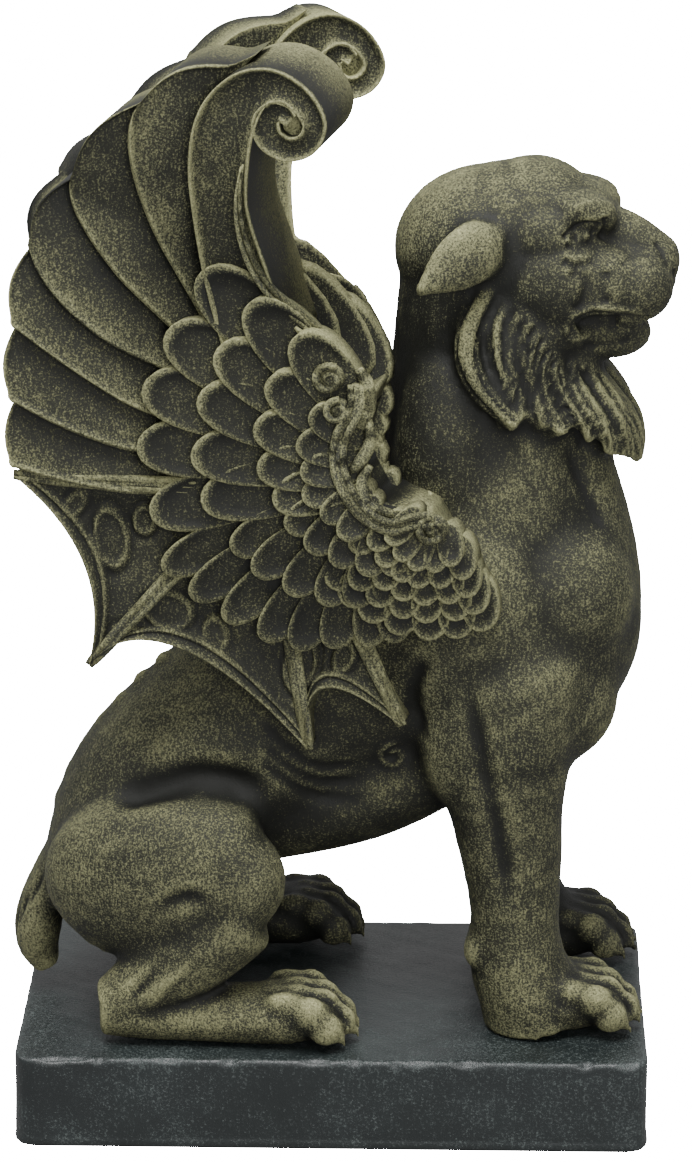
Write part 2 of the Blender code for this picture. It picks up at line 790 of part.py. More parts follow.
def main():
    for old in list(bpy.data.objects):
        bpy.data.objects.remove(old)
    gargoyle(stone("verdigris_cast_stone", (0.16, 0.155, 0.10), 0.75))
    plinth(stone("slate_cast_stone", (0.055, 0.065, 0.065), 0.7))


main()
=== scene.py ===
# %% [markdown]
# # A winged gargoyle, cast and dry-brushed
#
# A lion-like beast with a bearded head and tall scrolled wings sits on a slab. The real one is modelled in
# clay, moulded, cast in one dark stone mix and then brushed with a nearly dry, pale paint that catches on
# everything that stands out. This script goes the same way: rough masses first, then one skin over them, then
# strokes pressed in and ridges raised, and paint last. Each step is a cell, so each can be run and looked at
# by itself.

import math

import bmesh
import bpy
import numpy as np
from mathutils import Matrix, Vector


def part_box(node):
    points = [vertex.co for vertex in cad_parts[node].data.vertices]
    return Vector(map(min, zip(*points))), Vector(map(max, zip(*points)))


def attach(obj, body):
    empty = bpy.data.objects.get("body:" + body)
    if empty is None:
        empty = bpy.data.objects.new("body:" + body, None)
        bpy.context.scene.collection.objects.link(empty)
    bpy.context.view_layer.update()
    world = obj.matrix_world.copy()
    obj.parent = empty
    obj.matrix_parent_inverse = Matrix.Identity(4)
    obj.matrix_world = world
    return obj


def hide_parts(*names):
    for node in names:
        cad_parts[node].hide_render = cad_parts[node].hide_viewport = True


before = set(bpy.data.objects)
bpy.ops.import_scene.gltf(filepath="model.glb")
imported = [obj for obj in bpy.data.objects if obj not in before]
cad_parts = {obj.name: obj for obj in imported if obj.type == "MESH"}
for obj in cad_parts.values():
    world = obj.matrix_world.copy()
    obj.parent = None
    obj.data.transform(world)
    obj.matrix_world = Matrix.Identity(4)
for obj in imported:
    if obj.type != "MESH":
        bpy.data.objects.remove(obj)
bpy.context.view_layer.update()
figure_low, figure_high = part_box("winged_gargoyle")
plinth_low, plinth_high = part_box("plinth")
print(
    "figure stands",
    round(figure_high.z - figure_low.z, 4),
    "m high on a slab",
    round(plinth_high.z, 4),
    "m thick",
)

# %% [markdown]
# ## One drawing scale for the whole figure
#
# A sculptor works from a drawing with its own scale. Here every length of the figure is in drawn millimetres
# above the soles of the paws, and one factor turns them into metres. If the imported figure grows, the drawing
# grows with it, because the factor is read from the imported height.

# %% The drawing scale, and curves and noise used everywhere
DRAWN_HEIGHT = 250.8
MM = (figure_high.z - figure_low.z) / DRAWN_HEIGHT
SOLES = figure_low.z


def in_metres(points):
    """Drawn millimetres to metres, standing on the slab."""
    return np.asarray(points) * MM + np.array((0.0, 0.0, SOLES))


def catmull(points, steps):
    """Smooth rows through a list of equally long tuples."""
    rows = np.array(points, float)
    ends = np.vstack([2 * rows[0] - rows[1], rows, 2 * rows[-1] - rows[-2]])
    out = []
    for i in range(len(rows) - 1):
        a, b, c, d = ends[i : i + 4]
        for t in np.arange(steps) / steps:
            out.append(
                0.5 * (
                    2 * b + (c - a) * t + (2 * a - 5 * b + 4 * c - d) * t**2 + (3 * b - a - 3 * c + d) * t**3
                )
            )
    out.append(rows[-1])
    return np.array(out)


def smoothstep(value, low, high):
    t = np.clip((np.asarray(value, float) - low) / (high - low), 0, 1)
    return t * t * (3 - 2 * t)


def hump(value, centre, width):
    """A soft bump of height 1 at centre."""
    return np.exp(-(((np.asarray(value, float) - centre) / width) ** 2))


def ripple(points, pitch, seed):
    """Smooth noise made of a few crossing waves, between about -1 and 1."""
    random = np.random.default_rng(seed)
    total = np.zeros(len(points))
    for k in range(9):
        heading = random.normal(size=3)
        heading /= np.linalg.norm(heading)
        total += np.sin(points @ heading * 2 * math.pi / (pitch * (0.6 + 0.2 * k)) + random.uniform(0, 6.28))
    return total / 4


print("one drawn millimetre is", round(MM * 1000, 4), "mm")

# %% [markdown]
# ## Templates and a heap of clay
#
# A wing has dozens of feathers, and a mesh operator called on one growing mesh gets slower with every
# feather. So each basic shape is made once by mesh operators, kept as points and faces, and pressed onto the
# heap as many times as needed. Every point carries a mark from 0 to 1: how much pale paint its place holds.
# A low mark also leaves painted shade there.


# %% Templates made with mesh operators
def taken_from(bm):
    """Points and faces of a finished bmesh, which is then freed."""
    bmesh.ops.recalc_face_normals(bm, faces=bm.faces)
    bm.verts.index_update()
    points = np.array([vert.co for vert in bm.verts])
    faces = [[vert.index for vert in face.verts] for face in bm.faces]
    bm.free()
    return points, faces


def ball_template(sides, rings):
    bm = bmesh.new()
    bmesh.ops.create_uvsphere(bm, u_segments=sides, v_segments=rings, radius=1.0)
    return taken_from(bm)


RIM_DEPTH = 0.07


def slab_template(across, along):
    """A grid from 0 to 1 both ways, extruded down a little for a rim and then down to -1."""
    bm = bmesh.new()
    place = Matrix.Translation((0.5, 0.5, 0.0))
    made = bmesh.ops.create_grid(bm, x_segments=across, y_segments=along, size=0.5, matrix=place)
    faces = list({face for vert in made["verts"] for face in vert.link_faces})
    for step in (RIM_DEPTH, 1 - RIM_DEPTH):
        grown = bmesh.ops.extrude_face_region(bm, geom=faces)["geom"]
        lowered = [item for item in grown if isinstance(item, bmesh.types.BMVert)]
        bmesh.ops.translate(bm, vec=(0, 0, -step), verts=lowered)
        faces = [item for item in grown if isinstance(item, bmesh.types.BMFace)]
    return taken_from(bm)


BALL = ball_template(28, 16)
SMALL_BALL = ball_template(16, 10)
print("ball", len(BALL[0]), "points, small ball", len(SMALL_BALL[0]), "points")


# %% The heap
class Clay:
    """Shapes gathered for one piece."""

    def __init__(self):
        self.points, self.faces, self.marks, self.count = [], [], [], 0

    def add(self, shape, points, mark=0.0):
        self.points.append(points)
        self.faces += [[i + self.count for i in face] for face in shape[1]]
        self.marks.append(np.broadcast_to(np.asarray(mark, float), len(points)))
        self.count += len(points)

    def mesh(self, name):
        mesh = bpy.data.meshes.new(name)
        mesh.from_pydata(np.vstack(self.points).tolist(), [], self.faces)
        bm = bmesh.new()
        bm.from_mesh(mesh)
        bmesh.ops.recalc_face_normals(bm, faces=bm.faces)
        bm.to_mesh(mesh)
        bm.free()
        return mesh


def blob(clay, centre, radii, turn=0.0, roll=0.0, shape=SMALL_BALL):
    """An ellipsoid, turned about Y by turn and about Z by roll, in degrees."""
    place = Matrix.Rotation(math.radians(roll), 3, "Z") @ Matrix.Rotation(math.radians(turn), 3, "Y")
    clay.add(shape, (shape[0] * np.array(radii)) @ np.array(place).T + np.array(centre))


def limb(clay, stations, sides=20, steps=5, mark=0.0):
    """A tube through sections (x, y, z, half depth, half width), made by extruding its end face."""
    rows = catmull(stations, steps)
    frames = []
    for i, row in enumerate(rows):
        ahead = Vector(rows[min(i + 1, len(rows) - 1)][:3]) - Vector(rows[max(i - 1, 0)][:3])
        ahead.normalize()
        wide = Vector((0, 1, 0)) if abs(ahead.y) < 0.8 else Vector((1, 0, 0))
        wide = (wide - ahead * wide.dot(ahead)).normalized()
        axes = Matrix((wide.cross(ahead) * row[3], wide * row[4], ahead)).transposed().to_4x4()
        frames.append(Matrix.Translation(row[:3]) @ axes)
    bm = bmesh.new()
    made = bmesh.ops.create_circle(bm, cap_ends=True, segments=sides, radius=1.0, matrix=frames[0])
    face = made["verts"][0].link_faces[0]
    for before, after in zip(frames, frames[1:]):
        grown = bmesh.ops.extrude_face_region(bm, geom=[face])["geom"]
        verts = [item for item in grown if isinstance(item, bmesh.types.BMVert)]
        bmesh.ops.transform(bm, matrix=after @ before.inverted(), verts=verts)
        face = next(item for item in grown if isinstance(item, bmesh.types.BMFace))
    shape = taken_from(bm)
    clay.add(shape, shape[0], mark)


print("clay heap ready")

# %% [markdown]
# ## The beast's masses
#
# Animal sculptors block in the trunk, neck and legs as tubes and press balls of clay on for muscles. The same
# is done here. None of these shapes stays visible by itself: a skin is drawn over all of them later, so they
# only have to overlap well and give the right outline. The beast looks along +X, and its right side, -Y,
# faces the camera.


# %% Trunk, chest and belly
def trunk(clay):
    limb(
        clay,
        (
            (-65, 0, 22, 8, 14),
            (-57, 0, 34, 18, 24),
            (-43, 0, 51.5, 25.5, 27),
            (-22, 0, 69, 28.5, 26),
            (2, 0, 87, 32, 25),
            (26, 0, 100, 35, 28),
            (42, 0, 104, 30, 29),
            (52, 0, 104, 22, 24),
        ),
    )
    limb(
        clay,
        (
            (-38, 0, 42, 9, 14),
            (-24, 0, 47, 12, 18),
            (-8, 0, 52.5, 14.5, 20),
            (8, 0, 57.5, 15, 21),
            (24, 0, 66, 15, 21),
            (38, 0, 74, 12, 18),
        ),
    )
    limb(
        clay,
        (
            (57, 0, 160, 6, 8),
            (59, 0, 148, 6.5, 11),
            (62, 0, 135, 7.5, 13),
            (65.5, 0, 121, 8, 14),
            (67, 0, 107, 8.5, 14),
            (66.5, 0, 93, 8.5, 13),
            (61, 0, 79, 7.5, 11),
        ),
    )
    blob(clay, (45, 0, 100), (30, 28, 35), shape=BALL)
    for side in (-1, 1):
        blob(clay, (53, side * 12, 110), (20.5, 15, 20), shape=BALL)
        blob(clay, (52, side * 13, 84), (18, 13, 18), shape=BALL)
        blob(clay, (34, side * 21, 104), (20, 12, 28), shape=BALL)
        blob(clay, (30, side * 22, 78), (9, 9, 20), shape=BALL)
        blob(clay, (27, side * 13, 146), (13, 12, 27), shape=BALL)


def neck(clay):
    limb(
        clay,
        (
            (36, 0, 112, 31, 28),
            (36.5, 0, 132, 27, 25),
            (37, 0, 152, 25.5, 21),
            (36.5, 0, 172, 22.5, 19.5),
            (36.5, 0, 190, 20.5, 18),
        ),
    )


print("trunk and neck described")


# %% Legs, paws and tail
def paw(clay, base, reach, spread=8.4):
    """A paw with four knuckled, clawed toes, its toe tips at base x + reach."""
    x, y, z = base
    blob(clay, (x - 1, y, z + 6.5), (14, 10.5, 7.5))
    for i, share in enumerate((-1, -0.34, 0.34, 1)):
        back = 0.6 if i in (1, 2) else 3.6
        toe_y = y + share * spread
        tip = x + reach - back
        blob(
            clay,
            (tip - 12.5, toe_y * 0.25 + (y + share * spread * 0.8) * 0.75, z + 10.6),
            (7.0, 3.3, 3.6),
            turn=18,
        )
        blob(clay, (tip - 8.6, toe_y, z + 9.6), (4.6, 3.5, 4.3), turn=30)
        blob(clay, (tip - 4.6, toe_y, z + 5.4), (4.3, 3.4, 4.4), turn=35)
        limb(
            clay,
            (
                (tip - 4.0, toe_y, z + 5.4, 1.7, 1.5),
                (tip - 1.4, toe_y, z + 4.4, 1.4, 1.2),
                (tip + 0.0, toe_y, z + 2.4, 1.1, 0.9),
                (tip + 0.3, toe_y, z + 0.2, 0.6, 0.6),
            ),
            sides=8,
            steps=2,
        )


def foreleg(clay, side, foot_y):
    y = side * 20.5
    limb(
        clay,
        (
            (42, y, 106, 12, 9),
            (42, y, 94, 19.5, 13),
            (42, y, 74, 17, 13.5),
            (42.5, (y + foot_y) / 2, 58, 14.5, 12),
            (44.3, foot_y, 42, 12.6, 11),
            (45, foot_y, 28, 11.2, 10.5),
            (46, foot_y, 16, 12.0, 11),
            (49, foot_y, 8, 13, 11.5),
            (51, foot_y, 0, 13, 11.5),
        ),
    )
    blob(clay, (35.5, foot_y + side * 2, 21), (3.6, 6.0, 5.0))
    paw(clay, (58, foot_y, 0), 19)


def hind_leg(clay, side, foot_y):
    limb(
        clay,
        (
            (-61, side * 16, 27, 14, 10),
            (-53, side * 21, 35, 22, 14),
            (-40, side * 25, 41, 22.5, 15),
            (-27, side * 29, 45, 18, 12.5),
            (-19, side * 31, 45, 12.5, 9.5),
        ),
    )
    blob(clay, (-23.5, side * 31, 42), (13, 10.5, 14), shape=BALL)
    limb(
        clay,
        (
            (-21, side * 31, 34, 11, 10),
            (-34, (side * 31 + foot_y) / 2, 23, 11, 10),
            (-48, foot_y, 12, 8.5, 8.5),
            (-55, foot_y, 7.5, 6.5, 7.5),
        ),
    )
    limb(
        clay,
        (
            (-57, foot_y, 6.5, 6.2, 7),
            (-48, foot_y, 6.5, 7.0, 8),
            (-30, foot_y, 6.0, 7.2, 8.5),
            (-10, foot_y, 6.0, 7.6, 9.5),
        ),
    )
    paw(clay, (-11, foot_y, 0), 18)


def tail(clay):
    limb(
        clay,
        (
            (-60, 0, 46, 5, 7),
            (-68, 0, 36, 5.5, 8),
            (-74, 1, 22, 6.2, 9),
            (-75.5, 2, 12, 5.8, 8),
            (-73, 2, 4.5, 3.2, 5),
        ),
    )


print("legs and tail described")

# %% [markdown]
# ## The head
#
# The head is broad and cat-like: a low skull, heavy brows over small sunk eyes, a short deep muzzle with full
# whisker pads, a slightly open mouth and a round chin. The ears lie back. A ruff of locks sweeps from the
# cheeks to a beard on the chest. It is made looking straight ahead and then turned a little to the beast's
# right.

# %% Masses of the head and ruff
HEAD_TURN = math.radians(-6)
HEAD_LIFT = math.radians(-1.8)
HEAD_PIVOT = np.array((34.0, 0.0, 188.0))


def turned(points):
    """Head points, made looking straight ahead, lifted and turned to where the head looks."""
    spin = np.array(Matrix.Rotation(HEAD_TURN, 3, "Z") @ Matrix.Rotation(HEAD_LIFT, 3, "Y"))
    return (np.asarray(points, float) - HEAD_PIVOT) @ spin.T + HEAD_PIVOT


# Locks of the right side of the ruff, from cheek to tip, and how thick each is
LOCKS = (
    (((39.3, -16, 188.5), (34.6, -19, 180), (33.6, -21, 172), (37.3, -22, 163.7), (45.2, -21.5, 154.9)), 2.7),
    (
        (
            (43.2, -15.5, 184.7),
            (40.8, -18.5, 178.8),
            (41.3, -20, 171),
            (43.7, -20.5, 164),
            (46.7, -20, 157.7),
        ),
        1.8,
    ),
    (((48.1, -15, 179.9), (46.2, -17.5, 174.5), (47.0, -19, 165.6), (47.4, -19, 157.0)), 1.6),
    (((51.6, -13.5, 174.4), (49.1, -16.3, 170.1), (50.6, -18, 161.7), (56.0, -17.5, 151.9)), 2.0),
    (((53.8, -12.5, 172.0), (52.0, -15.0, 167.6), (53.8, -17, 159.4), (57.6, -16.0, 152.8)), 1.5),
    (
        (
            (57.0, -9.5, 169.2),
            (57.5, -11.8, 164.6),
            (61.0, -13, 158.3),
            (65.6, -12, 151.4),
            (66.1, -10.5, 144.9),
        ),
        2.1,
    ),
    (((60.5, -6, 167.1), (64.4, -8, 161.0), (68.6, -8.6, 153.6), (69.8, -7, 143.3)), 2.1),
    (
        (
            (61.0, -1.5, 166.0),
            (64.8, -3, 160.5),
            (70.3, -3.2, 152.4),
            (72.4, -2.5, 143.2),
            (71.8, -2.2, 139.8),
        ),
        2.2,
    ),
)


def between(first, second, count=6):
    """A lock halfway between two others."""
    paths = []
    for path, _ in (first, second):
        at = np.linspace(0, len(path) - 1, count)
        paths.append(np.stack([np.interp(at, np.arange(len(path)), column) for column in zip(*path)], axis=1))
    return [tuple(spot) for spot in (paths[0] + paths[1]) / 2], (first[1] + second[1]) / 2


FILLED_LOCKS = list(LOCKS) + [between(first, second) for first, second in zip(LOCKS[1:], LOCKS[2:])]


def head(clay):
    blob(clay, (37.5, 0, 193.5), (23.2, 18.5, 20.3), shape=BALL)
    blob(clay, (42.5, 0, 197.5), (19.5, 17.0, 17.2), shape=BALL)
    blob(clay, (48, 0, 198.5), (17.2, 15.5, 17.4), shape=BALL)
    blob(clay, (56, 0, 200), (13.0, 13.2, 11.2), shape=BALL)
    blob(clay, (44, 0, 172), (17, 17, 17), shape=BALL)
    limb(
        clay,
        (
            (56, 0, 198, 9.0, 9.5),
            (66, 0, 195.4, 8.6, 7.4),
            (73.4, 0, 191.6, 8.2, 6.4),
            (78.2, 0, 189.4, 6.8, 5.6),
        ),
    )
    blob(clay, (77.8, 0, 190.4), (5.2, 6.0, 6.6), shape=BALL)
    limb(
        clay,
        ((48, 0, 174, 8.5, 13), (58, 0, 173.2, 7.4, 11), (67, 0, 173.6, 6.4, 9.2), (73, 0, 175.2, 4.8, 6.6)),
    )
    blob(clay, (66, 0, 172.8), (10, 8.8, 6.2), shape=BALL)
    for side in (-1, 1):
        blob(clay, (59.4, side * 7.4, 204.6), (9.6, 6.6, 5.2), turn=16)
        blob(clay, (51, side * 10.5, 198.5), (10, 6.8, 8.5), shape=BALL)
        blob(clay, (71.2, side * 5.6, 185.4), (10.6, 8.0, 9.2), shape=BALL)
        blob(clay, (64.5, side * 7.8, 186.4), (10.5, 8.0, 10.0), shape=BALL)
        blob(clay, (52.5, side * 9.8, 187.5), (14, 9.6, 13), shape=BALL)
        blob(clay, (51, side * 8.5, 177.5), (12, 9.2, 9), shape=BALL)
        ear(clay, side)


def ear(clay, side):
    """A pointed ear laid back against the skull."""
    limb(
        clay,
        (
            (40.6, side * 15.0, 200.6, 3.2, 3.4),
            (38.0, side * 17.8, 199.0, 6.4, 4.2),
            (34.4, side * 20.4, 196.6, 7.2, 4.2),
            (30.0, side * 22.8, 193.8, 6.0, 3.4),
            (26.0, side * 24.9, 191.3, 3.3, 2.4),
            (22.4, side * 26.5, 189.2, 0.9, 1.0),
        ),
        sides=20,
    )


def ruff(clay, side):
    limb(
        clay,
        (
            (46, side * 10, 184, 9, 8),
            (45.5, side * 11.5, 171, 10.5, 9.6),
            (48, side * 12, 161, 9.5, 8.4),
            (53, side * 10.5, 151.5, 5.5, 6),
        ),
    )
    limb(
        clay,
        (
            (54, side * 4, 172, 8, 9),
            (57.5, side * 4.5, 162, 7.6, 8.4),
            (62, side * 4, 152, 6, 6.4),
            (66, side * 3, 145, 3.4, 4.2),
        ),
    )
    for path, radius in FILLED_LOCKS:
        share = np.linspace(0, 1, len(path))
        thick = radius * (0.4 + 0.75 * np.sin(np.pi * (0.14 + 0.72 * share)))
        limb(clay, [(x, -side * y, z, r, r * 1.1) for (x, y, z), r in zip(path, thick)], sides=12)


def turned_head(clay):
    part = Clay()
    head(part)
    for side in (-1, 1):
        ruff(part, side)
    for points, mark in zip(part.points, part.marks):
        clay.points.append(turned(points))
        clay.marks.append(mark)
    clay.faces += [[i + clay.count for i in face] for face in part.faces]
    clay.count += part.count


clay = Clay()
trunk(clay)
neck(clay)
foreleg(clay, -1, -20.0)
foreleg(clay, 1, 25.0)
hind_leg(clay, -1, -29.5)
hind_leg(clay, 1, 32.0)
tail(clay)
turned_head(clay)
print("body masses:", len(clay.points), "shapes,", clay.count, "points")

# %% [markdown]
# ## One skin over the masses
#
# A voxel remesh shrink-wraps the heap and throws away everything inside. A few rounds of smoothing then melt
# the joins, as a wet brush does on clay. The head carries the finest detail, so its faces are cut once more
# before any stroke is made, which keeps the whole piece light.

# %% Remesh, soften and refine
BODY_GRAIN = 1.12
SOFTEN_ROUNDS = 4


def skinned(mesh, grain, rounds):
    obj = bpy.data.objects.new(mesh.name, mesh)
    bpy.context.scene.collection.objects.link(obj)
    skin = obj.modifiers.new("skin", "REMESH")
    skin.mode = "VOXEL"
    skin.voxel_size = grain
    soften = obj.modifiers.new("soften", "SMOOTH")
    soften.factor = 0.5
    soften.iterations = rounds
    graph = bpy.context.evaluated_depsgraph_get()
    made = bpy.data.meshes.new_from_object(obj.evaluated_get(graph))
    bpy.data.objects.remove(obj)
    bpy.data.meshes.remove(mesh)
    return made


def refined(mesh, wanted):
    """Cuts every face whose centre is wanted into four."""
    bm = bmesh.new()
    bm.from_mesh(mesh)
    edges = {edge for face in bm.faces if wanted(face.calc_center_median()) for edge in face.edges}
    bmesh.ops.subdivide_edges(bm, edges=list(edges), cuts=1, use_grid_fill=True)
    bmesh.ops.triangulate(bm, faces=[face for face in bm.faces if len(face.verts) > 4])
    bm.to_mesh(mesh)
    bm.free()
    return mesh


def on_the_head(point):
    return point.z > 168 and point.x > 46 and point.y < 14


body_mesh = refined(skinned(clay.mesh("beast"), BODY_GRAIN, SOFTEN_ROUNDS), on_the_head)
print("body skin:", len(body_mesh.vertices), "points")


# %% A surface that can be worked with strokes
class Surface:
    """A mesh's points and normals as arrays, with the strokes that a modeller makes on them."""

    def __init__(self, mesh):
        self.mesh = mesh
        count = len(mesh.vertices)
        self.points = np.empty(count * 3)
        mesh.vertices.foreach_get("co", self.points)
        self.points = self.points.reshape(-1, 3)
        self.ends = np.empty(len(mesh.edges) * 2, int)
        mesh.edges.foreach_get("vertices", self.ends)
        self.ends = self.ends.reshape(-1, 2)
        self.degree = np.maximum(np.bincount(self.ends.ravel(), minlength=count), 1)
        self.refresh()

    def refresh(self):
        self.mesh.vertices.foreach_set("co", self.points.ravel())
        self.mesh.update()
        normals = np.empty(len(self.points) * 3)
        self.mesh.vertex_normals.foreach_get("vector", normals)
        self.normals = normals.reshape(-1, 3)

    def softened(self, values, rounds):
        """Values averaged with their neighbours, several times over."""
        values = values.reshape(len(values), -1)
        a, b = self.ends.T
        for _ in range(rounds):
            total = np.empty_like(values)
            for k in range(values.shape[1]):
                total[:, k] = (
                    np.bincount(a, values[b, k], len(values))
                    + np.bincount(b, values[a, k], len(values))
                )
            values = 0.5 * values + 0.5 * total / self.degree[:, None]
        return values

    def stroke(self, path, width, height, fade=0.25, facing=None):
        """Raises (or, with a negative height, presses in) a soft line along a path."""
        path = np.asarray(path, float)
        near = (
            (self.points > path.min(axis=0) - 3 * width)
            & (self.points < path.max(axis=0) + 3 * width)
        ).all(axis=1)
        if facing is not None:
            near &= self.normals @ np.asarray(facing, float) > 0.0
        here = self.points[near]
        best = np.full(len(here), np.inf)
        along = np.zeros(len(here))
        steps = len(path) - 1
        for i in range(steps):
            a, b = path[i], path[i + 1]
            t = np.clip((here - a) @ (b - a) / max((b - a) @ (b - a), 1e-9), 0, 1)
            away = np.linalg.norm(here - a - t[:, None] * (b - a), axis=1)
            closer = away < best
            best[closer] = away[closer]
            along[closer] = ((i + t) / steps)[closer]
        ends = smoothstep(along, 0, fade) * smoothstep(1 - along, 0, fade) if fade else 1.0
        self.points[near] += self.normals[near] * (height * hump(best, 0, width) * ends)[:, None]

    def draped(self, path, side, reach=1.3):
        """The path moved sideways onto the skin, where it can be seen from that side."""
        path = np.array(path, float)
        flank = self.points[side * self.points[:, 1] > 0]
        for spot in path:
            near = flank[np.hypot(flank[:, 0] - spot[0], flank[:, 2] - spot[2]) < reach]
            if len(near):
                spot[1] = side * (side * near[:, 1]).max()
        return path


body = Surface(body_mesh)
MELT_ROUNDS = 26
melted = body.softened(body.points.copy(), MELT_ROUNDS)
x, y, z = body.points.T
below_the_head = 1 - smoothstep(z - 0.9 * np.maximum(0, 52 - x), 138, 150)
melt = below_the_head * smoothstep(z, 14, 26)
body.points += melt[:, None] * (melted - body.points)
UNEVEN = 0.06
body.points += body.normals * (
    UNEVEN * (ripple(body.points, 7.0, 21) + 0.6 * ripple(body.points, 3.0, 22))
)[:, None]
body.refresh()
print("body surface has", len(body.ends), "edges")

# %% [markdown]
# ## Strokes on the body
#
# Creases, tendons and folds are pressed in with a modelling tool, and thin ridges are rolled on. Each stroke
# is a short path in space with a width and a height, and only the skin near the path moves, along its own
# normal.

# %% Folds of the haunch, belly and forelegs
for side in (-1, 1):
    y = side * 42
    fold = (
        (-27, y, 38.5),
        (-33, y, 41),
        (-38, y, 40),
        (-43, y, 36),
        (-47.5, y, 29),
        (-51, y, 22.5),
        (-54, y * 0.93, 15.5),
    )
    body.stroke(catmull(fold, 4), 2.0, -2.0)
    body.stroke(catmull([(x, y, z + 3.6) for x, y, z in fold], 4), 2.2, 0.6)
    shin = ((-56, y * 0.9, 12), (-48, y * 0.92, 20), (-43, y * 0.97, 28), (-38, y, 35), (-31, y, 37))
    body.stroke(catmull(shin, 4), 1.6, 0.8)
    body.stroke(catmull(((-46, y * 0.9, 9), (-40, y * 0.95, 18), (-33, y, 25), (-24, y, 31)), 4), 1.6, 0.8)
    body.stroke(catmull(((-50, y * 0.9, 11), (-43, y * 0.95, 21), (-38, y, 28)), 4), 1.3, -1.1)
    thigh = ((-58, side * 33, 47), (-52, side * 37, 55), (-43, side * 39, 60), (-33, side * 40, 62))
    body.stroke(catmull(thigh, 4), 2.6, 0.8)
    groin = (
        (-56, side * 27, 60),
        (-49, side * 31, 62.5),
        (-42, side * 33, 64.5),
        (-32, side * 36, 67),
        (-22, side * 35, 65),
        (-14, side * 31, 60),
    )
    body.stroke(body.draped(catmull(groin, 4), side), 3.6, -3.0)
    for lift in range(3):
        rise = 4.5 * lift
        rib = (
            (-18, side * 27, 73 + rise),
            (-12, side * 27, 66 + rise),
            (-3, side * 27, 59.5 + rise),
            (9, side * 26, 59.5 + rise),
        )
        body.stroke(body.draped(catmull(rib, 4), side), 1.5, -0.8)
    turns = np.linspace(0, 1, 22)
    swirl = (3.8 * (1 - 0.75 * turns), 60 + 470 * turns)
    curl_path = np.stack(
        [
            14.9 + swirl[0] * np.cos(np.radians(swirl[1])),
            0 * turns,
            70.6 + swirl[0] * np.sin(np.radians(swirl[1])),
        ],
        axis=1,
    )
    body.stroke(body.draped(curl_path, side), 0.75, 1.0, fade=0.1)
    elbow = ((23, 0, 101), (20, 0, 93), (19.5, 0, 85), (22.5, 0, 76))
    body.stroke(body.draped(catmull(elbow, 4), side), 2.4, -1.5)
for side, foot_y in ((-1, -20.0), (1, 25.0)):
    y = side * (foot_y * side + 11)
    shaft = (
        (32, side * 32, 98), (34, side * 33, 86), (37, side * 32, 72), (40, y, 58), (42, y, 46), (44, y, 32)
    )
    body.stroke(catmull(shaft, 4), 2.6, -1.2)
    body.stroke(
        catmull(((26, side * 31, 96), (36, side * 33, 96), (48, side * 31, 99), (60, side * 20, 103)), 4),
        4.0,
        -0.5,
    )
    body.stroke(
        catmull(((30, side * 31, 73), (40, side * 32, 69), (52, side * 29, 71), (61, side * 18, 75)), 4),
        3.4,
        -0.5,
    )
    body.stroke(catmull(((57, side * 25, 96), (58, side * 23, 86), (57, side * 21, 76)), 4), 3.2, -0.5)
for side in (-1, 1):
    body.stroke(
        catmull(
            ((56, side * 15, 150), (58.5, side * 14, 142), (64, side * 13, 128), (68.5, side * 10, 116)), 4
        ),
        1.6,
        -0.7,
    )
    body.stroke(
        catmull(((63, side * 6, 146), (66, side * 5, 135), (71, side * 4, 121), (74, side * 3, 111)), 4),
        1.2,
        -0.7,
    )
SPINE = ((-26, 98.5), (-56, 79), (-68, 47))
TUFTS = 9
for i in range(TUFTS):
    share = (i + 0.5) / TUFTS
    start, pull, end = (np.array(p) for p in SPINE)
    spot = start * (1 - share) ** 2 + pull * 2 * share * (1 - share) + end * share**2
    down = 2 * (1 - share) * (pull - start) + 2 * share * (end - pull)
    down *= 4.0 / np.linalg.norm(down)
    tuft = [(spot[0] + down[0] * k, 0.8 * (i % 2) - 0.4, spot[1] + down[1] * k) for k in (-1, 0, 1)]
    body.stroke(tuft, 2.4, 2.8, fade=0.5)
body.refresh()
print("folds pressed in")

# %% [markdown]
# ## Strokes on the head
#
# The face is read from a few lines: the fold over the eye, the groove behind the whisker pad, the open mouth
# with its lip rolled round the corner, and the nostril. They are given for a head that looks straight ahead,
# for the beast's right side, and mirrored and turned for each side.

